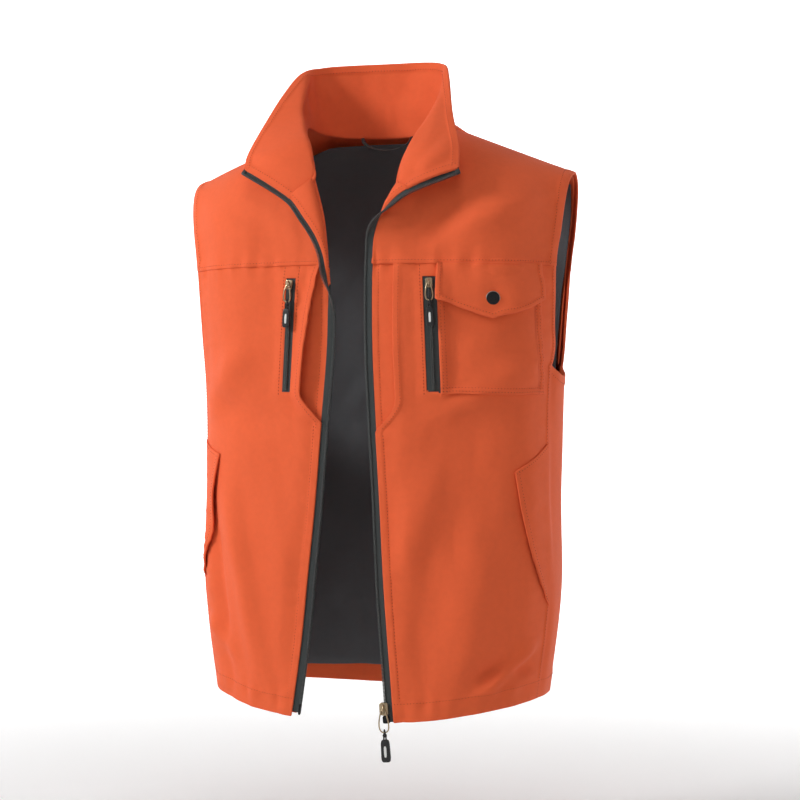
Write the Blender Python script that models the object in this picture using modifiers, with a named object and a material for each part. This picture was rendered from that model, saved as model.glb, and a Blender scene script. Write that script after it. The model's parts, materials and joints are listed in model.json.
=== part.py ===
"""Zip-front sleeveless vest with a stand collar, chest zips, a flap pocket and slanted hand pockets.

Metres, +Z up, the wearer faces -Y and the wearer's left is +X. The origin lies between the two points
where the shoulder seams meet the collar, which is where the vest rests on a wearer.
Every cloth piece is a patch of a smooth surface with Solidify. A patch is described for the +X half and
mirrored by its side, +1 for the wearer's left and -1 for the wearer's right.
"""
import math

import bpy
from mathutils import Matrix, Vector

# Overall shape
CENTRE_SHIFT = -0.010        # neck and front opening lie this far to the wearer's right
HALF_WIDTHS = ((-0.670, 0.197), (-0.530, 0.216), (-0.400, 0.214), (-0.275, 0.218), (-0.058, 0.243))
FRONT_DEPTH = 0.124
BACK_DEPTH = 0.110
ROUNDNESS = 2.4              # exponent of the body's superellipse section
SEAM_RATIO = 0.978           # side seams lie at this share of the half width
HEM_SIDE = -0.645
HEM_FRONT_DROP = 0.023
YOKE_Z = -0.164
ARMPIT_Z = -0.275
FRONT_BREAK_Z = -0.190       # the chest is upright below this height and bends to the shoulder above
BACK_BREAK_Z = -0.150
SHOULDER_Y = 0.012
SHOULDER_DROP = 0.058
SHOULDER_HALF = 0.227
NECK_HALF = 0.080
BACK_NECK_RISE = 0.016       # how far the back's surface would rise above the shoulders at the neck
ARMHOLE = ((-0.275, 0.2130), (-0.200, 0.2120), (-0.155, 0.2135), (-0.120, 0.2185), (-0.058, 0.2270))

# Front edges: a straight line from the hem to the yoke seam
EDGE_TOP = 0.0228            # half opening at the yoke seam
EDGE_SLOPE = 0.067           # how much wider per metre of drop

# Layers, measured outwards from the shell
SHELL_THICK = 0.0012
GAP = 0.0005
SIDE_GAP = 0.00012           # across the body at a side seam, where the wall runs nearly front to back
SHOULDER_GAP = 0.00008       # in height at the shoulder seam, where the wall is nearly level
PLACKET_LIFT = -0.0019
BAG_LIFT = -0.0044
LINING_LIFT = -0.0070
POCKET_LIFT = 0.0018
WELT_LIFT = 0.0026
FLAP_LIFT = 0.0054

# Main zip
TAPE_WIDTH = 0.0080
TAPE_LIFT = -0.0009
CHAIN_WIDTH = 0.0022
CHAIN_THICK = 0.0024

# Chest zips: top and bottom height, distance out at each, tape width
CHEST_TOP = -0.1790
CHEST_BOTTOM = -0.3050
CHEST_X = {1: (0.0850, 0.0895), -1: (0.0726, 0.0797)}
CHEST_TAPE = {1: 0.0120, -1: 0.0095}

# Flap pocket on the wearer's left chest
POCKET_IN = 0.0985
POCKET_OUT = 0.2030
POCKET_BOTTOM = -0.3070
FLAP_SIDE_Z = -0.2020
FLAP_POINT_Z = -0.2215
SNAP_X = 0.1500
SNAP_Z = -0.2030

# Hand pocket welts: the free edge runs from top to bottom, the sewn edge follows the side seam
WELT_TOP = (0.1700, -0.3850)
WELT_BOTTOM = (0.2050, -0.5350)
WELT_SEAM_Z = (-0.3620, -0.5430)

# Collar, for the +X half and measured from the opening's centre line: seam and top edge, front to back
COLLAR_SEAM = (
    (0.00, (0.075, -0.118, -0.096)), (0.15, (0.052, -0.114, -0.074)), (0.30, (0.064, -0.092, -0.038)),
    (0.50, (0.080, -0.014, 0.004)), (0.70, (0.072, 0.034, 0.004)), (0.85, (0.045, 0.055, 0.002)),
    (1.00, (0.000, 0.063, 0.001)))
COLLAR_TOP = (
    (0.00, (0.125, -0.104, -0.060)), (0.15, (0.121, -0.088, -0.034)), (0.30, (0.113, -0.055, 0.004)),
    (0.40, (0.104, -0.020, 0.040)), (0.50, (0.094, 0.012, 0.068)), (0.70, (0.076, 0.042, 0.080)),
    (0.85, (0.045, 0.058, 0.084)), (1.00, (0.000, 0.064, 0.085)))
ROLL_LINE = (
    (0.0, (0.0225, -0.126, -0.163)), (0.5, (0.032, -0.124, -0.118)), (1.0, (0.052, -0.115, -0.076)))
LAPEL_EDGE = (
    (0.0, (0.0262, -0.127, -0.163)), (0.3, (0.034, -0.130, -0.135)), (0.65, (0.053, -0.126, -0.110)),
    (1.0, (0.074, -0.119, -0.0975)))

# Colours
ORANGE = (0.78, 0.115, 0.028)
ORANGE_INSIDE = (0.60, 0.080, 0.022)
LINING_GREY = (0.16, 0.17, 0.18)
ZIP_GREY = (0.042, 0.050, 0.050)
BRASS = (0.42, 0.31, 0.17)
BLACK = (0.018, 0.018, 0.018)

SIDES = ((1, "left"), (-1, "right"))
DOWN_STEPS = 12


def clear_scene():
    for old in list(bpy.data.objects):
        bpy.data.objects.remove(old, do_unlink=True)


def new_collection(name):
    group = bpy.data.collections.new(name)
    bpy.context.scene.collection.children.link(group)
    return group


def new_material(name, colour, roughness, metallic=0.0):
    made = bpy.data.materials.new(name)
    made.use_nodes = True
    shader = made.node_tree.nodes["Principled BSDF"]
    shader.inputs["Base Color"].default_value = (*colour, 1.0)
    shader.inputs["Roughness"].default_value = roughness
    shader.inputs["Metallic"].default_value = metallic
    return made


clear_scene()
PARTS = new_collection("blaze_orange_vest")
CUTTERS = new_collection("cutters")


# ---------------------------------------------------------------- curves and surfaces

def smooth_value(keys, place):
    """Value at a place on the smooth curve through (place, value) keys."""
    places = [key[0] for key in keys]
    values = [Vector(key[1]) if isinstance(key[1], tuple) else key[1] for key in keys]
    last = len(keys) - 1
    place = min(max(place, places[0]), places[last])
    index = max(i for i in range(last) if places[i] <= place)

    def slope(i):
        low = max(i - 1, 0)
        high = min(i + 1, last)
        return (values[high] - values[low]) / (places[high] - places[low])

    span = places[index + 1] - places[index]
    t = (place - places[index]) / span
    start = (2 * t ** 3 - 3 * t ** 2 + 1) * values[index] + (t ** 3 - 2 * t ** 2 + t) * span * slope(index)
    end = (3 * t ** 2 - 2 * t ** 3) * values[index + 1] + (t ** 3 - t ** 2) * span * slope(index + 1)
    return start + end


def bezier(a, b, c, d, t):
    s = 1.0 - t
    return a * s ** 3 + 3 * b * s * s * t + 3 * c * s * t * t + d * t ** 3


def mix(a, b, t):
    return a + (b - a) * t


def spread(count):
    return [i / (count - 1) for i in range(count)]


def half_width(z):
    return smooth_value(HALF_WIDTHS, z)


def shoulder_z(x):
    return -SHOULDER_DROP * max(0.0, abs(x) - NECK_HALF) / (SHOULDER_HALF - NECK_HALF)


def neck_share(x):
    """1 at the middle of the back neck, falling to 0 at the shoulder seams."""
    return max(0.0, 1.0 - ((x - CENTRE_SHIFT) / NECK_HALF) ** 2)


def body_point(x, z, depth, break_z, top):
    """Point of the front (depth < 0) or back (depth > 0), which bends over to the shoulder seam."""
    ratio = min(abs(x) / half_width(z), 0.9995)
    base = depth * (1.0 - ratio ** ROUNDNESS) ** (1.0 / ROUNDNESS)
    if z <= break_z:
        return Vector((x, base, z))
    rise = top - break_z
    low, high = 0.0, 1.0
    for _ in range(40):
        t = (low + high) / 2
        if bezier(break_z, break_z + 0.7 * rise, top - 0.05 * rise, top, t) < z:
            low = t
        else:
            high = t
    bend = SHOULDER_Y + 0.75 * (base - SHOULDER_Y)
    return Vector((x, bezier(base, base, bend, SHOULDER_Y, low), z))


def front(x, z):
    return body_point(x, z, -FRONT_DEPTH, FRONT_BREAK_Z, shoulder_z(x))


def back(x, z):
    return body_point(x, z, BACK_DEPTH, BACK_BREAK_Z, shoulder_z(x) + BACK_NECK_RISE * neck_share(x))


def side_wall(angle, z):
    """Point of the body's side; angle 0 is the widest place, negative towards the front."""
    depth = FRONT_DEPTH if angle < 0 else BACK_DEPTH
    out = half_width(z) * math.cos(angle) ** (2 / ROUNDNESS)
    return Vector((out, math.copysign(depth * abs(math.sin(angle)) ** (2 / ROUNDNESS), angle), z))


def seam_angle():
    return math.acos(SEAM_RATIO ** (ROUNDNESS / 2))


def hem_z(x):
    return HEM_SIDE - HEM_FRONT_DROP * (1.0 - (x / half_width(HEM_SIDE)) ** 2)


def edge_x(side, z):
    return side * CENTRE_SHIFT + EDGE_TOP + EDGE_SLOPE * (YOKE_Z - z)


def outer_x(z):
    return SEAM_RATIO * half_width(z) if z <= ARMPIT_Z else smooth_value(ARMHOLE, z)


def arc_x(inner, outer, share, z):
    """Distance out at a share of the way round the section, so that columns are evenly wide."""
    width = max(half_width(z), outer + 0.001)
    start = math.asin(min(1.0, max(inner, 0.0) / width) ** (ROUNDNESS / 2))
    end = math.asin((outer / width) ** (ROUNDNESS / 2))
    return width * math.sin(mix(start, end, share)) ** (2 / ROUNDNESS)


def normal_at(surface, a, b, outward=None):
    """Unit normal of a surface, on the side that outward points to where that is given."""
    step = 0.0005
    along = surface(a + step, b) - surface(a - step, b)
    across = surface(a, b + step) - surface(a, b - step)
    normal = along.cross(across).normalized()
    if outward and normal.dot(outward(surface(a, b))) < 0:
        normal = -normal
    return normal


def from_axis(point):
    return Vector((point.x * 0.6, point.y, 0.0))


def upward_front(point):
    return Vector((0.0, -1.0, 0.6))


# ---------------------------------------------------------------- solids

def add_object(name, mesh, material, collection=None):
    made = bpy.data.objects.new(name, mesh)
    (collection or PARTS).objects.link(made)
    if material:
        mesh.materials.append(material)
    return made


def sheet(name, surface, rows, lift, thick, material, side=1, outward=from_axis):
    """Cloth patch: rows of (a, b) on a surface, moved along its normal and given a thickness."""
    points = []
    for row in rows:
        for a, b in row:
            point = surface(a, b) + normal_at(surface, a, b, outward) * lift
            points.append((side * point.x, point.y, point.z))
    return grid_solid(name, points, len(rows[0]), thick, material)


def grid_solid(name, points, columns, thick, material):
    rows = len(points) // columns
    faces = []
    for r in range(rows - 1):
        for c in range(columns - 1):
            first = r * columns + c
            faces.append((first, first + 1, first + columns + 1, first + columns))
    mesh = bpy.data.meshes.new(name)
    mesh.from_pydata(points, [], faces)
    made = add_object(name, mesh, material)
    mesh.shade_smooth()
    shell = made.modifiers.new("thickness", "SOLIDIFY")
    shell.thickness = thick
    shell.offset = 0.0
    shell.use_even_offset = True
    return made


def box(name, size, place, material=None, bevel=0.0, collection=None):
    bpy.ops.mesh.primitive_cube_add(size=1.0)
    made = bpy.context.active_object
    made.name = name
    made.data.name = name
    made.data.transform(Matrix.Diagonal((*size, 1.0)))
    made.matrix_world = place
    if material:
        made.data.materials.append(material)
    for group in list(made.users_collection):
        group.objects.unlink(made)
    (collection or PARTS).objects.link(made)
    if bevel:
        rounded = made.modifiers.new("rounding", "BEVEL")
        rounded.width = bevel
        rounded.segments = 2
    return made


def guide(name, size, place, bevel=0.0):
    made = box(name, size, place, bevel=bevel, collection=CUTTERS)
    made.hide_render = True
    made.display_type = "WIRE"
    return made


def cut(target, cutter, operation="DIFFERENCE"):
    boolean = target.modifiers.new(cutter.name, "BOOLEAN")
    boolean.operation = operation
    boolean.object = cutter


def turned(name, profile, place, material, ring=False, steps=24):
    """Solid of revolution about local Z; the profile runs down its outer side, and a ring's is closed."""
    mesh = bpy.data.meshes.new(name)
    edges = [(i, i + 1) for i in range(len(profile) - 1)]
    if ring:
        edges.append((len(profile) - 1, 0))
    mesh.from_pydata([(r, 0.0, h) for r, h in profile], edges, [])
    made = add_object(name, mesh, material)
    made.matrix_world = place
    screw = made.modifiers.new("turn", "SCREW")
    screw.axis = "Z"
    screw.steps = steps
    screw.render_steps = steps
    screw.use_merge_vertices = True
    screw.merge_threshold = 0.00001
    return made


def wire(name, points, radius, material, closed=False, place=None):
    curve = bpy.data.curves.new(name, "CURVE")
    curve.dimensions = "3D"
    curve.bevel_depth = radius
    curve.bevel_resolution = 1
    curve.use_fill_caps = True
    curve.resolution_u = 1
    curve.materials.append(material)
    spline = curve.splines.new("POLY")
    spline.points.add(len(points) - 1)
    for point, co in zip(spline.points, points):
        point.co = (*co, 1.0)
    spline.use_cyclic_u = closed
    made = bpy.data.objects.new(name, curve)
    PARTS.objects.link(made)
    if place is not None:
        made.matrix_world = place
    return made


def placed(origin, out, up):
    """Matrix with local Z outwards, local Y up along the piece and local X across it."""
    z_axis = out.normalized()
    x_axis = up.cross(z_axis).normalized()
    y_axis = z_axis.cross(x_axis)
    turn = Matrix((x_axis, y_axis, z_axis)).transposed().to_4x4()
    return Matrix.Translation(origin) @ turn


# ---------------------------------------------------------------- body panels

def front_rows(side, inner, levels, top, columns=9):
    """Rows up the front, from the hem to a level top, between an inner edge and the side or armhole."""
    rows = []
    for share in levels:
        row = []
        z_in = mix(HEM_SIDE - HEM_FRONT_DROP, top, share)
        z_out = mix(HEM_SIDE, top, share)
        for c in spread(columns):
            x = arc_x(inner(side, z_in), outer_x(z_out) - SIDE_GAP, c, z_out)
            row.append((x, mix(hem_z(x), top, share)))
        rows.append(row)
    return rows


def mouth_notch(side, z):
    """Inner edge of the front panel: it leaves the zip to make the curved mouth of the placket pocket."""
    top = YOKE_Z
    bottom = -0.338 - 0.010 * (side > 0)
    if z <= bottom:
        return edge_x(side, z)
    share = (z - bottom) / (top - bottom)
    width = 0.024 + 0.006 * (side > 0)
    return edge_x(side, z) + width * math.sin(math.pi * min(0.62, 3.2 * share) / 1.24) * (1 - 0.45 * share ** 3)


def front_panels(cloth, lining):
    levels = [0.0, 0.06, 0.16, 0.28, 0.40, 0.52, 0.62, 0.64, 0.655, 0.68, 0.73, 0.80, 0.87, 0.94, 1.0]
    for side, hand in SIDES:
        top = YOKE_Z - GAP
        rows = front_rows(side, mouth_notch, levels, top)
        sheet("front_panel_" + hand, front, rows, 0.0, SHELL_THICK, cloth, side)

        placket = []
        for z in (-0.362, -0.320, -0.260, -0.210, top):
            placket.append([(edge_x(side, z) + 0.044 * c, z) for c in spread(3)])
        sheet("placket_panel_" + hand, front, placket, PLACKET_LIFT, 0.0010, cloth, side)

        facing = []
        inside = []
        for share in spread(DOWN_STEPS):
            z = mix(HEM_SIDE + 0.004, top, share)
            edge = edge_x(side, z)
            facing.append([(edge + 0.050 * c, mix(hem_z(edge) + 0.004, top, share)) for c in spread(3)])
            end = outer_x(z) - 0.004
            inside.append([(arc_x(edge + 0.0505, end, c, z), z) for c in spread(7)])
        sheet("front_facing_" + hand, front, facing, LINING_LIFT, 0.0009, cloth, side)
        sheet("front_lining_" + hand, front, inside, LINING_LIFT, 0.0008, lining, side)


def side_panels(cloth):
    angle = seam_angle()
    slack = 0.003
    for side, hand in SIDES:
        rows = []
        for share in spread(9):
            row = []
            for c in spread(6):
                turn = mix(-angle + slack, angle - slack, c)
                base = hem_z(side_wall(turn, HEM_SIDE).x)
                row.append((turn, mix(base, ARMPIT_Z - GAP, share)))
            rows.append(row)
        sheet("side_panel_" + hand, side_wall, rows, 0.0, SHELL_THICK, cloth, side)


def signed_row(limit, z, columns):
    """Columns across the whole back, from one side to the other, evenly wide round the section."""
    return [math.copysign(arc_x(0.0, limit, abs(s), z), s) for s in
            [mix(-1.0, 1.0, c) for c in spread(columns)]]


def back_panels(cloth, lining):
    rows = []
    for share in spread(9):
        z = mix(HEM_SIDE - 0.006, YOKE_Z - GAP, share)
        rows.append([(x, z) for x in signed_row(outer_x(z) - SIDE_GAP, z, 17)])
    sheet("back_panel", back, rows, 0.0, SHELL_THICK, cloth)

    inside = []
    for share in spread(8):
        z = mix(HEM_SIDE + 0.010, -0.090, share)
        inside.append([(x, z) for x in signed_row(outer_x(z) - 0.005, z, 13)])
    sheet("back_lining", back, inside, LINING_LIFT, 0.0008, lining)


def back_yoke(cloth):
    rows = []
    for share in [math.sin(math.pi / 2 * s) for s in spread(8)]:
        row = []
        for s in [mix(-1.0, 1.0, c) for c in spread(17)]:
            z_out = mix(YOKE_Z + GAP, -SHOULDER_DROP, share)
            x = s * (smooth_value(ARMHOLE, z_out) - GAP)
            share_in = neck_share(x)
            top = shoulder_z(x) + BACK_NECK_RISE * share_in - 0.019 * share_in ** 1.5 - SHOULDER_GAP
            row.append((x, mix(YOKE_Z + GAP, top, share)))
        rows.append(row)
    sheet("back_yoke", back, rows, 0.0, SHELL_THICK, cloth)


def neck_x(side, share):
    """Inner edge of a front yoke, up the roll line and along the collar seam to the shoulder."""
    keys = ((0.0, 0.0265), (0.28, 0.036), (0.55, 0.056), (0.76, 0.069), (1.0, 0.0835))
    return smooth_value(keys, share) + side * CENTRE_SHIFT


def front_yokes(cloth):
    for side, hand in SIDES:
        rows = []
        for share in [math.sin(math.pi / 2 * s) for s in spread(10)]:
            z_out = mix(YOKE_Z + GAP, -SHOULDER_DROP, share)
            row = []
            for c in spread(7):
                x = mix(neck_x(side, share), smooth_value(ARMHOLE, z_out) - GAP, c)
                row.append((x, mix(YOKE_Z + GAP, shoulder_z(x) - SHOULDER_GAP, share)))
            rows.append(row)
        sheet("front_yoke_" + hand, front, rows, 0.0, SHELL_THICK, cloth, side)


def armhole_facings(cloth):
    """Narrow facing inside each armhole, up the front yoke, over the shoulder and down the back."""
    for side, hand in SIDES:
        points = []
        lift = -0.0045
        for surface, order, bottom in ((front, 1, YOKE_Z), (back, -1, ARMPIT_Z)):
            shares = [0.88 * math.sin(math.pi / 2 * s) for s in spread(7)][::order]
            for share in shares:
                z = mix(bottom + 0.002, -SHOULDER_DROP, share)
                for inward in (0.001, 0.005, 0.009, 0.013):
                    x = smooth_value(ARMHOLE, z) - inward
                    height = mix(bottom + 0.002, shoulder_z(x), share)
                    point = surface(x, height) + normal_at(surface, x, height, from_axis) * lift
                    points.append((side * point.x, point.y, point.z))
        grid_solid("armhole_facing_" + hand, points, 4, 0.0009, cloth)


# ---------------------------------------------------------------- collar and lapels

def collar_point(side):
    def surface(u, v):
        u = min(max(u, 0.0), 1.0)
        low = smooth_value(COLLAR_SEAM, u)
        high = smooth_value(COLLAR_TOP, u)
        roll = math.exp(-((u - 0.16) / 0.13) ** 2)
        push = Vector((-0.010, -0.010, 0.012)) * roll
        point = low.lerp(high, v) + push * (4 * v * (1 - v))
        point.x += side * CENTRE_SHIFT
        return point
    return surface


def lapel_point(side):
    def surface(u, v):
        low = smooth_value(ROLL_LINE, u)
        high = smooth_value(LAPEL_EDGE, u)
        push = Vector((-0.004, -0.007, 0.004)) * u
        point = low.lerp(high, v) + push * (4 * v * (1 - v))
        point.x += side * CENTRE_SHIFT
        return point
    return surface


def collar_grid(lift, trim):
    """The whole collar, from one front corner round the back to the other, moved out by lift."""
    places = [0.0, 0.07, 0.14, 0.22, 0.31, 0.41, 0.51, 0.62, 0.74, 0.87]
    levels = [mix(0.02 + trim, 1.0 - trim, v) for v in spread(5)]
    points = []
    for v in levels:
        for side, run in ((1, places + [1.0]), (-1, places[::-1])):
            surface = collar_point(side)
            for u in run:
                shifted = surface(u, v) + normal_at(surface, mix(0.004, 0.999, u), v) * lift
                points.append((side * shifted.x, shifted.y, shifted.z))
    return points, 2 * len(places) + 1


def collar(cloth, inner_cloth, stiffener):
    points, columns = collar_grid(0.0024, 0.0)
    grid_solid("collar_outer", points, columns, 0.0010, cloth)
    points, columns = collar_grid(0.0, 0.05)
    grid_solid("collar_stiffener", points, columns, 0.0006, stiffener)
    points, columns = collar_grid(-0.0024, 0.0)
    grid_solid("collar_inner", points, columns, 0.0010, inner_cloth)


def lapel_facings(cloth):
    for side, hand in SIDES:
        rows = [[(u, v) for v in spread(5)] for u in spread(8)]
        sheet("lapel_facing_" + hand, lapel_point(side), rows, 0.0, 0.0014, cloth, side, upward_front)


def hanger_loop(cloth):
    loop = []
    for s in spread(11):
        angle = math.pi * s
        loop.append((CENTRE_SHIFT - 0.030 * math.cos(angle), 0.052, -0.004 - 0.016 * math.sin(angle)))
    wire("hanger_loop", loop, 0.0015, cloth)


# ---------------------------------------------------------------- main zip

def zip_line(side, z, out):
    """Point level with the tape, a distance out from the front edge towards the opening."""
    return Vector((side * (edge_x(side, z) - out), -FRONT_DEPTH, z))


def zip_frame(side, z, out):
    up = (zip_line(side, YOKE_Z, 0.0) - zip_line(side, -0.66, 0.0)).normalized()
    return placed(zip_line(side, z, out), Vector((0.0, -1.0, 0.0)), up)


def lower_zips(tape_cloth, chain_metal):
    bottom = -0.660
    middle = (bottom + YOKE_Z - GAP) / 2
    length = (YOKE_Z - GAP - bottom) * math.sqrt(1 + EDGE_SLOPE ** 2)
    for side, hand in SIDES:
        tape = zip_frame(side, middle, GAP + TAPE_WIDTH / 2) @ Matrix.Translation((0, 0, TAPE_LIFT))
        box("main_zip_tape_" + hand, (TAPE_WIDTH, length, 0.0008), tape, tape_cloth)
        out = GAP + TAPE_WIDTH + 0.0004 + CHAIN_WIDTH / 2
        chain = zip_frame(side, middle, out) @ Matrix.Translation((0, 0, TAPE_LIFT))
        box("main_zip_chain_" + hand, (CHAIN_WIDTH, length, CHAIN_THICK), chain, chain_metal, bevel=0.0004)


def edge_path(side):
    """Points up the lapel's edge from the yoke seam to the collar's front corner, with outward vectors."""
    rim = []
    for u in spread(7)[:-1]:
        rim.append(smooth_value(LAPEL_EDGE, u))
    for v in spread(6):
        rim.append(smooth_value(COLLAR_SEAM, 0.0).lerp(smooth_value(COLLAR_TOP, 0.0), v))
    path = []
    for i, point in enumerate(rim):
        ahead = rim[min(i + 1, len(rim) - 1)] - rim[max(i - 1, 0)]
        turn = i / (len(rim) - 1)
        out = ahead.normalized().cross(Vector((0.0, -1.0, 0.35 * turn)))
        out = out.normalized()
        if out.z > 0:
            out = -out
        at = point + Vector((side * CENTRE_SHIFT, 0.0, 0.0))
        path.append((at, out))
    return path


def upper_zips(tape_cloth, chain_metal):
    for side, hand in SIDES:
        points = []
        chain = []
        for at, out in edge_path(side):
            for distance in (0.0015, 0.0015 + TAPE_WIDTH):
                rim = at + out * distance
                points.append((side * rim.x, rim.y, rim.z))
            end = at + out * (0.0015 + TAPE_WIDTH + 0.0016)
            chain.append((side * end.x, end.y, end.z))
        grid_solid("lapel_zip_tape_" + hand, points, 2, 0.0008, tape_cloth)
        wire("lapel_zip_chain_" + hand, chain, 0.0011, chain_metal)


def zip_ends(metal):
    """The box that holds the slider's side at the hem, and the pin on the other front."""
    out = GAP + TAPE_WIDTH + 0.0004 + CHAIN_WIDTH / 2
    box_place = zip_frame(1, -0.6655, out) @ Matrix.Translation((0, 0, TAPE_LIFT))
    box("zip_retainer_box", (0.0080, 0.0085, 0.0042), box_place, metal, bevel=0.0010)
    pin_place = zip_frame(-1, -0.6675, out) @ Matrix.Translation((0, 0, TAPE_LIFT))
    box("zip_insertion_pin", (0.0026, 0.0130, 0.0026), pin_place, metal, bevel=0.0006)


# ---------------------------------------------------------------- sliders and pullers

def slider(name, place, size, channel, saddle_height, metal, open_side=0.0):
    """Slider body with a channel for the chain below it and a saddle that the ring passes through."""
    width, length, thick = size
    made = box(name, size, place, metal, bevel=0.0008)
    saddle = place @ Matrix.Translation((0, 0.0, thick / 2 + saddle_height / 2 - 0.0006))
    cut(made, guide(name + "_saddle", (0.0026, 0.0066, saddle_height + 0.0012), saddle, 0.0005), "UNION")
    tunnel = place @ Matrix.Translation((0, 0.0, thick / 2 + saddle_height / 2 - 0.0002))
    cut(made, guide(name + "_tunnel", (0.0080, 0.0030, saddle_height - 0.0012), tunnel))
    drop = place @ Matrix.Translation((open_side, 0.0, channel[2]))
    cut(made, guide(name + "_channel", (channel[0], length * 1.4, channel[1]), drop))
    return made


def puller(prefix, place, ring_width, ring_length, tab_size, metal, cord_black, rubber):
    """Ring, cord and rubber tab that hang along local -Y from the place's origin."""
    loop = []
    for k in range(14):
        angle = 2 * math.pi * k / 14
        down = (1 - math.cos(angle)) / 2
        half = ring_width / 2 * mix(0.62, 1.0, down)
        round_out = math.copysign(abs(math.sin(angle)) ** 0.7, math.sin(angle))
        loop.append((half * round_out, -down * ring_length, 0.0))
    wire(prefix + "_ring", loop, 0.0007, metal, closed=True, place=place)

    start = ring_length - 0.0026
    cord_length = 0.0100
    strand = 0.0016
    cord = []
    for s in (1, -1):
        run = [(s * strand * 0.8, -start - cord_length, s * 0.0010), (s * strand * 0.7, -start - 0.0030, s * 0.0019)]
        cord += run if s > 0 else run[::-1]
        if s > 0:
            cord.append((strand * 0.3, -start - 0.0002, 0.0015))
            cord.append((-strand * 0.3, -start - 0.0002, -0.0015))
    wire(prefix + "_cord", cord, 0.0006, cord_black, place=place)

    width, length, thick = tab_size
    drop = -start - cord_length - 0.0003 - length / 2
    tab_place = place @ Matrix.Translation((0, drop, 0.0))
    box(prefix + "_tab", (width, length, thick), tab_place, rubber, bevel=0.0012)


def main_slider(metal, cord_black, rubber):
    out = GAP + TAPE_WIDTH + 0.0004 + CHAIN_WIDTH / 2
    place = zip_frame(1, -0.6525, out) @ Matrix.Translation((0, 0, TAPE_LIFT))
    channel = (0.0036 + 0.0080, 0.0034, 0.0)
    slider("main_slider", place, (0.0100, 0.0135, 0.0062), channel, 0.0040, metal, open_side=0.0040)
    pull = place @ Matrix.Translation((0, 0.0, 0.0031 + 0.0018))
    puller("main_pull", pull, 0.0150, 0.0250, (0.0105, 0.0250, 0.0034), metal, cord_black, rubber)


def chest_line(side, share):
    """Point of a chest zip's centre line on the shell, 0 at its bottom and 1 at its top."""
    top, bottom = CHEST_X[side]
    point = front(mix(bottom, top, share), mix(CHEST_BOTTOM, CHEST_TOP, share))
    point.x *= side
    return point


def chest_frame(side, share, lift):
    x, z = sum(CHEST_X[side]) / 2, -0.25
    out = normal_at(front, x, z, from_axis)
    out.x *= side
    low, high = chest_line(side, 0.0), chest_line(side, 0.92)
    up = (high - low).normalized()
    origin = low + up * ((CHEST_TOP - CHEST_BOTTOM) * share)
    return placed(origin + out * lift, out, up)


def chest_zips(tape_cloth, chain_metal, metal, cord_black, rubber):
    length = CHEST_TOP - CHEST_BOTTOM
    for side, hand in SIDES:
        width = CHEST_TAPE[side]
        box("chest_zip_tape_" + hand, (width, length, 0.0008), chest_frame(side, 0.5, 0.0017), tape_cloth)
        box("chest_zip_chain_" + hand, (0.0034, length - 0.004, 0.0012), chest_frame(side, 0.5, 0.0031),
            chain_metal, bevel=0.0003)
        place = chest_frame(side, 0.945, 0.0042)
        channel = (0.0044, 0.0030, -0.0015)
        slider("chest_slider_" + hand, place, (0.0074, 0.0100, 0.0034), channel, 0.0038, metal)
        pull = place @ Matrix.Translation((0, 0.0, 0.0017 + 0.0017))
        puller("chest_pull_" + hand, pull, 0.0105, 0.0185, (0.0085, 0.0210, 0.0026), metal, cord_black, rubber)


# ---------------------------------------------------------------- pockets

def flap_pocket(cloth, metal, dark_metal):
    rows = []
    for share in spread(6):
        z = mix(POCKET_BOTTOM, YOKE_Z - 0.004, share)
        rows.append([(arc_x(POCKET_IN, POCKET_OUT, c, z), z) for c in spread(7)])
    sheet("patch_pocket", front, rows, POCKET_LIFT, SHELL_THICK, cloth)

    rows = []
    for share in spread(4):
        row = []
        for c in spread(9):
            x = arc_x(POCKET_IN - 0.0005, POCKET_OUT + 0.0015, c, YOKE_Z)
            low = mix(FLAP_SIDE_Z, FLAP_POINT_Z, 1.0 - abs(2 * c - 1))
            row.append((x, mix(low, YOKE_Z - 0.0015, share)))
        rows.append(row)
    sheet("pocket_flap", front, rows, FLAP_LIFT, 0.0016, cloth)

    out = normal_at(front, SNAP_X, SNAP_Z, from_axis)
    up = Vector((0.0, 0.0, 1.0))
    seat = front(SNAP_X, SNAP_Z)
    cap = [(0.0, 0.0020), (0.0045, 0.0019), (0.0072, 0.0014), (0.0085, 0.0005), (0.0085, 0.0), (0.0, 0.0)]
    turned("snap_cap", cap, placed(seat + out * (FLAP_LIFT + 0.0013), out, up), dark_metal)
    socket = [(0.0036, 0.0009), (0.0062, 0.0009), (0.0062, 0.0), (0.0036, 0.0)]
    turned("snap_socket", socket, placed(seat + out * (FLAP_LIFT - 0.0021), out, up), metal, ring=True)
    stud = [(0.0, 0.0011), (0.0028, 0.0009), (0.0030, 0.0), (0.0, 0.0)]
    turned("snap_stud", stud, placed(seat + out * (POCKET_LIFT + 0.0010), out, up), metal)


def pocket_bags(lining):
    for side, hand in SIDES:
        inner = CHEST_X[side][1] - 0.020
        rows = []
        for z in (-0.345, -0.300, -0.240, -0.182):
            rows.append([(inner + 0.100 * c, z) for c in spread(5)])
        sheet("chest_pocket_bag_" + hand, front, rows, BAG_LIFT, 0.0022, lining, side)
        rows = []
        for z in (-0.600, -0.540, -0.470, -0.395):
            rows.append([(arc_x(0.085, 0.188, c, z), z) for c in spread(7)])
        sheet("hand_pocket_bag_" + hand, front, rows, BAG_LIFT, 0.0022, lining, side)


def hand_welts(cloth):
    for side, hand in SIDES:
        rows = []
        for share in spread(7):
            free = (mix(WELT_TOP[0], WELT_BOTTOM[0], share), mix(WELT_TOP[1], WELT_BOTTOM[1], share))
            seam_z = mix(WELT_SEAM_Z[0], WELT_SEAM_Z[1], share)
            sewn = outer_x(seam_z) - 0.0015
            rows.append([(arc_x(free[0], sewn, c, seam_z), mix(free[1], seam_z, c)) for c in spread(5)])
        sheet("hand_welt_" + hand, front, rows, WELT_LIFT, 0.0014, cloth, side)


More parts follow.
